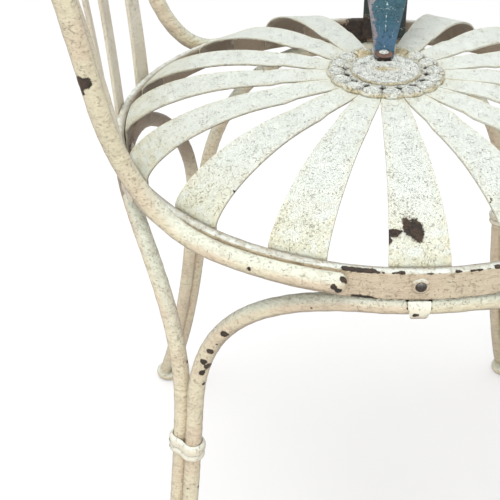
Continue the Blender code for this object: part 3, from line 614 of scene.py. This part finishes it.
BLUE = old_paint("blue_paint", screen_colour(72, 106, 136), screen_colour(60, 98, 122),
                 screen_colour(38, 82, 94), screen_colour(40, 54, 48), specks=0.35,
                 ridges=0.3, crazing=0.30, stain=screen_colour(140, 134, 138), rough=0.42,
                 dirt=screen_colour(40, 66, 84), rim_colour=screen_colour(84, 84, 84),
                 torn=1.0, scratched=0.85)
BARE = old_paint("bare_metal", screen_colour(84, 78, 74), screen_colour(62, 54, 48),
                 screen_colour(124, 122, 120), screen_colour(52, 42, 36), specks=0.6,
                 ridges=0.5, crazing=0.3, rough=0.26, dirt=screen_colour(48, 42, 38),
                 metallic=0.8)
RUST = old_paint("rusty_washer", screen_colour(104, 76, 62), screen_colour(84, 60, 48),
                 screen_colour(116, 90, 78), screen_colour(60, 42, 32), specks=0.6,
                 ridges=0.6, crazing=0.4, rough=0.62, dirt=screen_colour(58, 42, 34))
print(len(bpy.data.materials), "materials")

# %% [markdown]
# ## The seat ring
#
# The ring is a flat bar on edge, bent to a circle and welded. A turned profile would give a perfect
# one. The paint on a real one is thick and uneven, so the bar's section is carried round a circle,
# and a ripple moves its face in and out by a fraction of a millimetre.

# %% Ring
def make_ring():
    """Section of a flat bar on edge, moved round the circle, its face slowly uneven."""
    section, edges = round_bar(RING_BAND, RING_OUT - RING_IN, 0.0011)
    x, y = section.T
    out = polar(1.0, np.linspace(0, 360, 720, endpoint=False), 0.0)[:, None]
    points = (out * ((RING_OUT + RING_IN) / 2 + y)[:, None]
              + UP * (RING_TOP - RING_BAND / 2 + x)[:, None])
    uneven = 0.00022 * (ripple(points, 0.006) - 1) * np.sign(y)
    # The inner face takes the under colour: its brown, poorly painted steel, and painted shade
    # under the seat.
    ring = skin("painted_seat_ring", points + out * uneven[..., None], closed=True,
                edge=edges * 0.8, tint=np.where(y < 0, -0.60, 0.0))
    return place(ring, RING, "brushed_cream_paint", "seat_ring")


print(len(make_ring().data.vertices), "points in the ring")

# %% [markdown]
# ## The seat slats
#
# The seat's spring is its slats of thin steel. A slat leaves the ring's inside, bends over and
# rises like a quarter of an ellipse to the level of the hub. The power 1.38 makes it a little
# flatter. A bent sheet with a Solidify modifier could do it, but a section carried along the line
# has round edges, and takes each slat's own lift, turn, knock and twist.

# %% Slats
def bulge(radius):
    """0 at the ring and at the crest, 1 between them."""
    share = np.clip((TAB - radius) / (TAB - CREST), 0.0, 1.0)
    return np.sin(pi * np.sqrt(share))


def slat_line(lift):
    """(radius, height) along a slat: tab, quarter arch, level run to the hub."""
    turns = np.radians(np.concatenate((np.linspace(0, 10, 4), np.linspace(13, 90, 26))))
    radius = CREST + (TAB - CREST) * np.cos(turns)
    height = RING_TOP + RISE * np.sin(turns) ** 1.38 + lift * bulge(radius)
    tab = [(TAB, RING_TOP - drop) for drop in (0.0165, 0.013, 0.0095, 0.00495, 0.0022)]
    level = [(r, SLAT_LEVEL) for r in (0.076, 0.066, 0.060, 0.053, 0.046, 0.040, 0.030, 0.016)]
    return np.vstack((tab, np.column_stack((radius, height)), level))


def slat_edges(number, radius):
    """Sideways places of both edges: an even taper, narrower where slats meet at the hub."""
    share = (radius - HUB_EDGE) / (TAB - HUB_EDGE)
    taper = (0.018 + 0.020 * share) / 2
    shift = tan(radians(KNOCK.get(number, 0.0))) * np.maximum(radius - HUB_EDGE, 0.0)
    edges = []
    for side in (-1, 1):
        beside = (number - side - 1) % SLATS + 1
        apart = side * (TURN.get(beside, 0.0) - TURN.get(number, 0.0))
        room = radius * tan(radians((SLAT_STEP + apart) / 2)) - CLEAR
        room -= side * np.minimum(side * shift, 0.0)
        edges.append(shift + side * np.minimum(taper, room))
    return np.column_stack(edges)


def bent_strip(name, line, edges, thick, bearing, curls, tilts, tint, wave=0.0):
    """A flat section moved along a bent line, bowed near the ring to follow its circle."""
    sr, sz = unit(np.gradient(line, axis=0)).T[:, :, None]
    radius, height = line.T[:, :, None]
    low, high = edges.T[:, :, None]
    section, sharp = round_bar(2.0, thick, thick * 0.30, 2)
    x, y = section.T
    offset = (low + high) / 2 + np.clip(x, -1.0, 1.0) * (high - low) / 2
    bow = curls[:, None] * (radius - np.sqrt(np.maximum(radius ** 2 - offset ** 2, 0.0)))
    step = wave * np.sin(offset * 260 + radius * 90) * (radius < TAB - 0.004)
    forward = radius + sz * y - bow
    level = height - sr * y + x * tilts[:, None] + step
    loops = (forward[..., None] * polar(1.0, bearing, 0.0)
             + offset[..., None] * polar(1.0, bearing + 90, 0.0) + level[..., None] * UP)
    # The underside takes the under colour, for its hardly painted steel and as painted shade.
    return skin(name, loops, edge=sharp * 0.9, line=np.abs(x) < 0.01,
                tint=np.where(y < -0.2 * thick, -1.0, tint(radius, x)))


def slat_tint(radius, x):
    """Stains gather near the rim, a little at the hub, and along both edges."""
    near_rim = np.clip((radius - 0.150) / 0.040, 0.0, 1.0)
    near_hub = np.clip((0.062 - radius) / 0.018, 0.0, 1.0)
    return np.minimum(0.60 * near_rim + 0.25 * near_hub + 0.25 * np.abs(x) ** 4, 1.0)


def slat_bearing(number):
    return 180.0 - SLAT_STEP * (number - 1) + TURN.get(number, 0.0)


def make_slat(number):
    line = slat_line(LIFT.get(number, 0.0))
    radius = line[:, 0]
    curls = np.clip(1.0 - np.maximum(TAB - radius, 0) / 0.03, 0.0, 1.0)
    tilts = TWIST.get(number, 0.0) * bulge(radius)
    slat = bent_strip(f"painted_slat_{number:02d}", line, slat_edges(number, radius), SLAT_THICK,
                      slat_bearing(number), curls, tilts, slat_tint, 0.00012)
    return place(slat, SLAT, "cream_paint", f"seat_slat_{number:02d}")


slats = [make_slat(number) for number in range(1, SLATS + 1) if number != MISSING]
print(len(slats), "slats")

# %% [markdown]
# ## The hub
#
# A rosette pressed from sheet clamps the slats. Over each slat it has a petal with an embossed
# oval, and a smaller cap lies on it, with small lozenge holes beside it. A turned disc has no
# petals, and cutting them out of one makes long thin faces. A polar grid bends its own rim instead:
# its radius and its height are both functions of the angle.

# %% Rosette and cap
def petal_edge(radius, notch, angle):
    """The radius of sixteen petals, with a notch where the cosine of 8 times the angle is 0."""
    return radius - notch * (1 - np.sqrt(np.abs(np.cos(8 * angle))))


def pressed_disc(name, radius, notch, level, thick, height, tint, hole):
    """A polar grid: height(r, angle) lifts the top, which ends in a scalloped edge."""
    angles = full_turn(384)
    top = np.concatenate((np.linspace(0.004, 0.5, 12), np.linspace(0.52, 0.965, 40)))
    rest = np.array([(0.985, thick - 0.00015, 0.9), (0.996, thick - 0.0005, 0.9),
                     (1.0, thick - 0.0010, 0.9), (1.0, 0.0, 0.9), (0.5, 0.0, 0.0),
                     (0.004, 0.0, 0.0)])
    edge = petal_edge(radius, notch, angles)
    face, rim = edge * top[:, None], edge * rest[:, :1]
    r = np.vstack((face, rim))
    z = level + np.vstack((thick + height(face, angles), 0 * rim + rest[:, 1:2]))
    return skin(name, polar(r, np.degrees(angles), z),
                tint=np.vstack((tint(face, angles), 0 * rim + rest[:, 2:])),
                hole=np.vstack((hole(face, angles), 0 * rim)))


def oval(r, angle, middle, long_half, wide_half):
    """How far a point lies from the nearest petal's middle, 1 on the oval's line."""
    step = 2 * pi / SLATS
    off = (angle + step / 2) % step - step / 2
    return np.sqrt(((r - middle) / long_half) ** 2 + (off * r / wide_half) ** 2)


def lozenge(r, angle):
    """1 inside a small lozenge hole between two petals, 0 outside."""
    step = 2 * pi / SLATS
    off = (angle % step) - step / 2
    size = np.abs(r - 0.0296) / 0.0030 + np.abs(off * r) / 0.0036
    return np.clip((1.15 - size) / 0.3, 0.0, 1.0)


def petal_oval(r, angle):
    return oval(r, angle, 0.0362, 0.0044, 0.0050)


def rosette_height(r, angle):
    """A ridge on each oval, petals that swell outward, and sunk lozenges."""
    ring = np.exp(-((petal_oval(r, angle) - 1) / 0.22) ** 2)
    hollow = lozenge(r, angle)
    wide = 0.0008 * np.sqrt(np.abs(np.cos(8 * angle))) * np.clip((r - 0.030) / 0.008, 0, 1)
    return 0.00095 * ring + wide - 0.0016 * hollow


def rosette_tint(r, angle):
    """Yellow in the gaps, on the rim, round the ovals and the cap, and beside the strip's tip."""
    gap = np.exp(-((np.abs(np.cos(8 * angle))) / 0.25) ** 2) * (r > 0.034)
    rim = np.clip((r - 0.0395) / 0.002, 0, 1)
    far = np.clip(0.5 + np.cos(angle), 0, 1) * (r < 0.034)
    line = np.exp(-((petal_oval(r, angle) - 1.42) / 0.16) ** 2) * (r > 0.031)
    foot = np.exp(-((r - 0.0272) / 0.0010) ** 2)
    x, y = r * np.cos(angle), r * np.sin(angle)
    tip = (np.exp(-((y - 0.013) / 0.006) ** 2) + np.exp(-((y + 0.014) / 0.007) ** 2))
    tip *= np.exp(-((x - 0.031) / 0.006) ** 2)
    return np.clip(0.3 * gap + 0.45 * rim + 0.2 * far + 0.25 * line + 0.2 * foot + 1.9 * tip,
                   0, 1.6)


def rosette_hole_shade(r, angle):
    """Painted shade: dark open holes on the near side, and dark grooves beside the ovals and
    petals.
    """
    opened = lozenge(r, angle) * (np.cos(angle) < 0.25)
    gap = np.exp(-(np.cos(8 * angle) / 0.13) ** 2) * (r > 0.0335)
    line = np.exp(-((petal_oval(r, angle) - 1.38) / 0.09) ** 2) * (r > 0.0325)
    return np.clip(opened + 0.42 * gap + 0.36 * line, 0, 1)


def cap_dark(r, angle):
    """A thin dark line just inside the rim."""
    return 0.30 * np.exp(-((r - 0.0246) / 0.0005) ** 2) + 0 * angle


def cap_height(r, angle):
    """Low beads near the rim, a fine crust of paint and a shallow groove."""
    beads = 0.00035 * np.exp(-((r - 0.0225) / 0.0012) ** 2) * np.abs(np.cos(8 * angle))
    crust = 0.00012 * np.sin(2300 * r * np.cos(angle)) * np.sin(2100 * r * np.sin(angle) + 1)
    return beads + crust - 0.0002 * np.exp(-((r - 0.0188) / 0.0008) ** 2)


def cap_tint(r, angle):
    """A long stain across the middle, and a little on the rim."""
    x, y = r * np.cos(angle), r * np.sin(angle)
    chip = np.exp(-(((x + 0.0015) / 0.0035) ** 2 + (y / 0.0080) ** 2))
    return np.clip(1.8 * chip + 0.3 * (r > 0.024), 0, 1.6)


rosette = pressed_disc("painted_rosette", HUB_EDGE, 0.0022, HUB_LEVEL, ROSETTE_THICK,
                       rosette_height, rosette_tint, rosette_hole_shade)
place(rosette, HUB, "cream_paint", "hub_rosette")
cap = pressed_disc("painted_cap", 0.0262, 0.0012, CAP_LEVEL, CAP_THICK, cap_height, cap_tint,
                   cap_dark)
place(cap, HUB, "cream_paint", "hub_cap", "hub_rivet")
print(len(rosette.data.vertices), "points in the rosette")

# %% [markdown]
# ## The replacement strip
#
# One slat is lost. A wider strip of blue-painted steel, from another thing, was bent to stand in
# its place and riveted on top of the cap. It lies level there, rises in a half ellipse and comes
# down inside the ring. It is carried along its line like the slats. Its rivet and washer are turned
# pieces, since a lathe's profile gives their domes and steps.

# %% Strip and its rivet
TIP = 0.0205
STRIP_SIDE = -0.0008


def strip_line():
    """(radius, height): a level foot on the cap, a half ellipse, and a tab inside the ring."""
    foot = TIP + 0.008
    middle, reach = (foot + TAB) / 2, (TAB - foot) / 2
    start = [(radius, STRIP_LEVEL) for radius in (TIP - 0.0066, TIP - 0.0058, TIP - 0.0038, TIP,
                                                  TIP + 0.003, foot - 0.002)]
    rise, fall = np.radians(np.linspace(6, 90, 22)), np.radians(np.linspace(86, 0, 22))
    climb = RING_TOP + STRIP_RISE - STRIP_LEVEL
    up = np.column_stack((middle - reach * np.cos(rise), STRIP_LEVEL + climb * np.sin(rise)))
    down = np.column_stack((middle + reach * np.cos(fall), RING_TOP + STRIP_RISE * np.sin(fall)))
    tab = [(TAB, RING_TOP - drop) for drop in (0.006, 0.011, 0.0165)]
    return np.vstack((start, up, down, tab))


def worn_side(radius, x):
    """The blue has gone along one side: 1 at that edge, 0 from a quarter of the width in."""
    return np.clip((x - 0.55) / 0.45, 0.0, 1.0) ** 1.5 + 0 * radius


def make_strip():
    """The strip's outline widens from a rounded tip, and its path leans to one side."""
    line = strip_line()
    along = np.concatenate(([0.0], np.cumsum(np.hypot(*np.diff(line, axis=0).T))))
    half = (0.015 + 0.023 * np.clip((along - 0.015) / 0.060, 0, 1)) / 2
    half[:3] *= (0.45, 0.66, 0.88)
    shift = STRIP_SIDE - 0.0238 * (line[:, 0] - TIP) / (TAB - TIP)
    curls = np.clip(1.0 - np.maximum(TAB - line[:, 0], 0) / 0.02, 0.0, 1.0) * (along > 0.1)
    edges = np.column_stack((shift - half, shift + half))
    strip = bent_strip("painted_replacement_strip", line[::-1], edges[::-1], STRIP_THICK, 0.0,
                       curls[::-1], 0 * along, worn_side)
    place(strip, BLUE, "blue_paint", "replacement_slat")


def make_strip_rivet():
    seat = STRIP_LEVEL + STRIP_THICK / 2 + CLEAR
    washer = spun("strip_washer", [(.0029, .0009), (.0035, .0011), (.0055, .0009), (.0066, .0005),
                                   (.0068, .0002), (.0066, 0), (.0029, 0)], 40,
                  (TIP - 0.0012, STRIP_SIDE, seat))
    place(washer, RUST, "rusty_steel")
    rivet = spun("strip_rivet", [(0, .0021), (.0010, .0020), (.0020, .0021), (.0028, .0019),
                                 (.0035, .0013), (.0036, .0011), (.0027, .0010), (.0027, -.0098),
                                 (.0042, -.0100), (.0030, -.0116), (0, -.0118)], 40,
                 (TIP, STRIP_SIDE, seat))
    place(rivet, HUB, "rusty_steel", "replacement_rivet")


make_strip()
make_strip_rivet()
print(len(strip_line()), "rows of points along the strip")

# %% [markdown]
# ## The rim rivets
#
# A rivet holds each slat's end in the ring. Its head has lost its paint to hands and legs, and the
# paint stands up round it in a soft lip. Both are small turned pieces on the ring's outside.

# %% Rim rivets
HEAD = [(.0034, -.0006), (.0034, .0006), (.0032, .0013), (.0026, .0019), (.0016, .0023),
        (.0005, .0024)]
LIP = [(.0056, -.0006), (.0054, .0001), (.0047, .0006), (.0040, .0008), (.0035, .0006),
       (.0033, -.0006)]


def stud(name, bearing, profile):
    """A profile of (radius, distance out) spun round a line that points out of the ring."""
    radius, out = np.array(profile).T[:, :, None, None]
    angles = full_turn(24)[:, None]
    ring = np.cos(angles) * polar(1.0, bearing + 90, 0.0) + np.sin(angles) * UP
    middle = polar(RING_OUT, bearing, RING_TOP - RIVET_DROP)
    return skin(name, middle + out * polar(1.0, bearing, 0.0) + radius * ring)


for number in range(1, SLATS + 1):
    bearing = slat_bearing(number) + KNOCK.get(number, 0.0)
    place(stud(f"rim_rivet_{number:02d}", bearing, HEAD), BARE, "rusty_steel")
    place(stud(f"rivet_paint_{number:02d}", bearing, LIP), RING, "brushed_cream_paint")
print(SLATS, "rim rivets")

# %% [markdown]
# ## The back
#
# One rod hugs the ring, leans back and closes in a round top. A curve with a round bevel would be
# the quick way. Here the same line becomes a tube of circles, each a little uneven, because brushed
# paint never lies evenly on a rod.

# %% Hoop
def cubic(a, b, c, d, steps):
    """A cubic curve from a to d that b and c pull towards themselves, without its first point."""
    t = np.linspace(0, 1, steps + 1)[1:, None]
    return (1 - t)**3 * a + 3 * t * (1 - t)**2 * b + 3 * t**2 * (1 - t) * c + t**3 * d


def hoop_half(drop, leave):
    """Centre line: an arc on the ring, a bend, a straight side and a quarter of the top."""
    hug = polar(RING_OUT + HOOP_ROD / 2 + CLEAR, 90.0 - np.linspace(76.2, leave, 24),
                RING_TOP - drop)
    along = np.array((-cos(radians(leave)), sin(radians(leave)), 0.0))
    side = unit((0.110, HOOP_LEAN, 1.0))
    start = np.array((0.1519, 0.1893, RING_TOP + 0.0845))
    climb = side * (0.290 - 0.0845) / side[2]
    shoulder = start + climb
    crown = np.array((0.0, shoulder[1] + HOOP_LEAN * 0.146, RING_TOP + 0.436))
    bend = cubic(hug[-1], hug[-1] + along * 0.063, start - side * 0.010, start, 30)
    straight = start + climb * np.linspace(0.1, 1.0, 10)[:, None]
    arc = cubic(shoulder, shoulder + side * 0.146 * 0.60,
                crown + np.array((shoulder[0] * 0.60, 0.0, 0.0)), crown, 36)
    return np.vstack((hug, bend, straight, arc))


left_half = hoop_half(0.0112, 54.2)
right_half = hoop_half(0.0056, 52.8) * (-1, 1, 1)
hoop = tube("painted_hoop", even_path(np.vstack((left_half, right_half[-2::-1]))), HOOP_ROD / 2)
place(hoop, ROD, "brushed_cream_paint", "back_hoop")
print("the hoop is", round(left_half[:, 2].max() + HOOP_ROD / 2, 3), "m high")

# %% [markdown]
# ## The back slats
#
# Four flat bars stand on the ring's outside and lean back until they lie along the hoop, so each is
# as long as the hoop is high there. Their section turns as they rise, because it follows the round
# ring below and lies flat on the hoop above.

# %% Back slats
def make_back_slat(index, bearing):
    """A flat section carried along a cubic from the ring to where it crosses the hoop."""
    side, a = (1 if bearing > 0 else -1), radians(abs(bearing))
    foot = np.array((0.2017 * sin(a), 0.2017 * cos(a), RING_TOP))
    gap = left_half[:, 0] - foot[0] - 3.06 * foot[0] * (left_half[:, 2] - RING_TOP)
    i = np.flatnonzero((gap[1:] <= 0) & (gap[:-1] > 0)).max()
    share = gap[i + 1] / (gap[i + 1] - gap[i])
    cross = left_half[i + 1] + (left_half[i] - left_half[i + 1]) * share
    top = cross + unit((0, 1, -HOOP_LEAN)) * (HOOP_ROD / 2 + CLEAR + 0.0014)
    reach, depth, height = top - foot
    start, end = 0.060 * height, HOOP_LEAN * height
    s = np.concatenate(([-0.0402, -0.02], np.linspace(0, 1.015, 40)))[:, None]
    t = np.maximum(s, 0.0)
    back = depth * t**2 * (3 - 2 * t) + start * t * (1 - t)**2 - end * t**2 * (1 - t)
    line = foot + np.hstack((reach * t, back, np.where(s > 0, height * s, 0.435 * s)))
    twist = a * (1 - np.minimum(t, 1.0))
    wide = np.hstack((np.cos(twist), -np.sin(twist), 0 * twist))[:, None]
    deep = np.hstack((np.sin(twist), np.cos(twist), 0 * twist))[:, None]
    section, sharp = round_bar(0.020, 0.0028, 0.0009)
    x, y = section.T[:, :, None]
    bar = skin(f"painted_back_slat_{index}", (line[:, None] + wide * x + deep * y) * (side, 1, 1),
               edge=sharp)
    return place(bar, BAR, "brushed_cream_paint", f"back_slat_{index}")


for index, bearing in enumerate((-22.5, -7.5, 7.5, 22.5), 1):
    bar = make_back_slat(index, bearing)
    print(bar.name, len(bar.data.vertices), "points")

# %% [markdown]
# ## The legs
#
# Four rods, each bent to an arch, stand round the ring, and neighbours share a corner. Each arch's
# corner is nearly a quarter ellipse wrapped round the ring's cylinder, and its legs move outward by
# a slope plus a power of the drop, as one sees them flare near the floor. A curve of a few handled
# points could draw such a rod, but a formula keeps four arches side by side without touching.

# %% Arches
def leg_radius(height, corner):
    """Distance from the chair's middle: a straight slope plus a flare that grows as a power."""
    drop = RING_TOP - height
    return 0.1965 - 0.0036 + 0.090 * drop + 0.0410 * (drop / RING_TOP) ** FLARE[corner]


def leg_bearing(height, corner):
    """How far round from the arch's middle a leg stands, just beside the next arch's leg."""
    return 45.0 - np.degrees(np.arcsin(PITCH / 2 / leg_radius(height, corner)))


def arch_half(side, corner):
    """From under the ring: a short level run, a bend, and a leg down to the foot."""
    way = np.sign((CORNER[corner] - BEARING[side] + 180.0) % 360.0 - 180.0)
    low = ARCH_LEVEL - DROP[side]
    turns = np.radians(np.linspace(0, 90, 31)[1:])
    bend = ARCH_LEVEL - DROP[side] * (1 - np.maximum(np.cos(turns), 0.0) ** 0.93)
    round_bend = LEVEL_RUN + (leg_bearing(bend, corner) - LEVEL_RUN) * np.sin(turns) ** 0.93
    leg = np.linspace(low, LEG_END, 31)[1:]
    height = np.concatenate((np.full(6, ARCH_LEVEL), bend, leg))
    away = np.concatenate((np.linspace(0, LEVEL_RUN, 6), round_bend, leg_bearing(leg, corner)))
    return polar(leg_radius(height, corner), BEARING[side] + way * away, height)


def make_arch(side):
    """Two halves make one path. The back arch is painted darker and browner where the seat shades
    it: painted shade.
    """
    first, second = ENDS[side]
    path = np.vstack((arch_half(side, first)[:0:-1], arch_half(side, second)))
    path[[0, -1], 2] += 0.0006
    path = even_path(path)
    # Painted shade: where the seat shades the back arch's crown, it takes the under colour.
    shade = np.clip((path[:, 2] - 0.27) / 0.06, 0, 1) * (path[:, 0] > -0.06) * (side == "back")
    arch = tube(f"painted_arch_{side}", path, LEG_ROD / 2, domed=False, tint=-0.8 * shade[:, None])
    return place(arch, ROD, "brushed_cream_paint", f"leg_arch_{side}")


print([make_arch(side).name for side in ENDS])

# %% [markdown]
# ## Clips, collars and feet
#
# A strap under the ring holds the middle of each arch. Lower down, a cast collar binds two
# neighbouring legs, with a thick bead above a thin one, and the pair ends in a round pad. The
# collar is a profile carried round two circles, pinched between them, as the real one is where
# it was squeezed. Joining two turned rings would leave a sharp crease there.

# %% Clips, collars and feet
def make_clip(side):
    """A strap round the rod, narrower at its lowest point."""
    out, across = polar(1.0, BEARING[side], 0.0), polar(1.0, BEARING[side] + 90, 0.0)
    middle = polar(leg_radius(ARCH_LEVEL, ENDS[side][0]), BEARING[side], ARCH_LEVEL)
    section, sharp = round_bar(1.0, 0.0022, 0.0008)
    x, y = section.T[:, :, None]
    turns = np.linspace(50.0, -230.0, 48)[:, None, None]
    width = 0.0140 - 0.0080 * np.clip((20 - turns) / 105, 0.0, 1.0) ** 1.1
    ray = out * np.cos(np.radians(turns)) + UP * np.sin(np.radians(turns))
    loops = middle + ray * (LEG_ROD / 2 + CLEAR + 0.0011 + y) + across * x * width
    clip = skin(f"painted_clip_{side}", loops, edge=sharp * 0.6)
    place(clip, COLLAR, "brushed_cream_paint", f"arch_clip_{side}")


def bead(z, middle, half, height):
    """Half an ellipse of a given height, over a part of the band, 0 outside it."""
    return height * np.sqrt(np.maximum(0.0, 1 - ((z - middle) / half) ** 2))


def make_collar(corner):
    """A pinched band with a thick upper bead, a groove and a thin lower bead."""
    half, level = 0.0070, RING_TOP - 0.189
    bore = LEG_ROD / 2 + CLEAR + 0.0002
    z = np.linspace(1, -1, 25)
    upper = bead(z, 0.35, 0.65, 0.0025) * (z > -0.3)
    lower = bead(z, -0.62, 0.38, 0.0021) * (z < -0.24)
    swell = np.concatenate(([0.0], np.maximum(np.maximum(upper, lower), 0.0004), [0.0]))
    height = half * np.concatenate(([1], z, [-1]))
    outline = []
    for first, middle in ((0, PITCH / 2), (180, -PITCH / 2)):
        outline += [(first + a, middle, 0.0) for a in np.linspace(0, 180, 17)]
        outline += [(first + 180, middle * s, 0.0010 * (1 - abs(s))) for s in (0.5, 0.0, -0.5)]
    turn, beside, pinch = np.array(outline).T[:, :, None]
    a, reach = np.radians(turn), bore + swell - pinch
    steep = (leg_radius(level - half, corner) - leg_radius(level + half, corner)) / (2 * half)
    loops = (polar(leg_radius(level, corner), CORNER[corner], level)
             + (reach * np.cos(a) - steep * height)[..., None] * polar(1.0, CORNER[corner], 0.0)
             + (beside + reach * np.sin(a))[..., None] * polar(1.0, CORNER[corner] + 90, 0.0)
             + height[:, None] * UP)
    collar = skin(f"painted_collar_{corner}", loops, closed=True)
    place(collar, COLLAR, "brushed_cream_paint", f"collar_{corner}")


def make_foot(corner):
    """A bun-shaped pad with a flat upper face."""
    profile = [(0, .0090), (.0100, .0090), (.0116, .0088), (.0130, .0080), (.0138, .0068),
               (.0142, .0052), (.0141, .0036), (.0136, .0020), (.0126, .0008), (.0112, 0.0),
               (0, 0.0)]
    foot = spun(f"painted_foot_{corner}", profile, 56,
                polar(leg_radius(LEG_END, corner), CORNER[corner], 0.0))
    place(foot, ROD, "brushed_cream_paint", f"foot_{corner}")


for side in ENDS:
    make_clip(side)
for corner in CORNER:
    make_collar(corner)
    make_foot(corner)

# The disc under the slats hardly shows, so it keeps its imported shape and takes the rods' paint.
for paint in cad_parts["hub_backing_disc"].material_slots:
    paint.material = ROD

# %% [markdown]
# ## Stage, light and camera
#
# The chair stands on a pale floor in even light, with a big soft lamp above and a weaker one in
# front. A white backdrop could be had from strong lamps, but they would bleach the old paint. So
# only what the camera, reflections and glass see of the floor and the world is made brighter, and
# the floor keeps the chair's soft shadow.

# %% Stage
FLOOR_HALF, FLOOR_LEVEL = 6.0, -0.0002
FLOOR_GLOW, WORLD_LIGHT = 0.38, 0.75


def seen_rays(tree):
    """1 for rays from the camera, from reflections and through glass, 0 for the rest."""
    rays = add_node(tree, 'ShaderNodeLightPath').outputs
    seen = maths(tree, 'MAXIMUM', rays["Is Camera Ray"], rays["Is Glossy Ray"])
    return maths(tree, 'MAXIMUM', seen, rays["Is Transmission Ray"])


def make_floor():
    mesh = bpy.data.meshes.new("floor")
    corners = [(FLOOR_HALF * x, FLOOR_HALF * y, FLOOR_LEVEL)
               for x, y in ((-1, -1), (1, -1), (1, 1), (-1, 1))]
    mesh.from_pydata(corners, [], [(0, 1, 2, 3)])
    material, tree, shader = new_material("floor_paint")
    shader.inputs["Base Color"].default_value = (0.60, 0.60, 0.60, 1.0)
    shader.inputs["Roughness"].default_value = 0.9
    shader.inputs["Emission Color"].default_value = (1.0, 1.0, 1.0, 1.0)
    feed(tree, times(tree, seen_rays(tree), FLOOR_GLOW), shader.inputs["Emission Strength"])
    mesh.materials.append(material)
    new_object("floor", mesh)


def make_world():
    world = bpy.data.worlds.new("studio")
    bpy.context.scene.world = world
    world.use_nodes = True
    tree = world.node_tree
    sky = tree.nodes["Background"]
    sky.inputs["Color"].default_value = (1.0, 1.0, 1.0, 1.0)
    more = times(tree, seen_rays(tree), 1.0 - WORLD_LIGHT)
    feed(tree, maths(tree, 'ADD', more, WORLD_LIGHT), sky.inputs["Strength"])


def make_light(name, spot, size, power, colour):
    """A round soft lamp, turned so that it shines at the seat."""
    lamp = bpy.data.lights.new(name, 'AREA')
    lamp.shape = 'DISK'
    lamp.size, lamp.energy, lamp.color = size, power, colour
    thing = new_object(name, lamp)
    away = unit(np.array(spot) - (0.0, 0.0, 0.4))
    thing.location = spot
    thing.rotation_euler = (np.arccos(away[2]), 0.0, atan2(away[1], away[0]) + pi / 2)


make_floor()
make_world()
make_light("soft_box", (-0.25, 0.5, 2.7), 2.0, 33.0, (1.0, 1.0, 1.0))
make_light("front_fill", (-2.2, 0.2, 0.9), 1.8, 16.0, (1.0, 0.97, 0.94))
bpy.context.scene.view_settings.view_transform = 'Standard'
print(len(bpy.data.lights), "lamps")

# %% [markdown]
# ## The camera
#
# The camera looks down at the seat from the chair's right. Three unit vectors say where its right
# side, its top and its front point, and together with its place they are the columns of its matrix.

# %% Camera
lens = bpy.data.cameras.new("camera")
lens.lens = 74.19
lens.sensor_width = 36.0
camera = new_object("camera", lens)
right = unit((-0.01409093, -0.99989022, -0.00458149))
top = unit((0.56550706, -0.01174798, 0.82465978))
ahead = unit((0.82462307, -0.00902935, -0.56561052))
spot = np.array((-0.69454926, 0.1076339, 0.77397218)) + CENTRE
camera.matrix_world = Matrix(np.vstack((np.column_stack((right, top, -ahead, spot)), (0, 0, 0, 1))))
bpy.context.scene.camera = camera
print("camera at", spot.round(3))
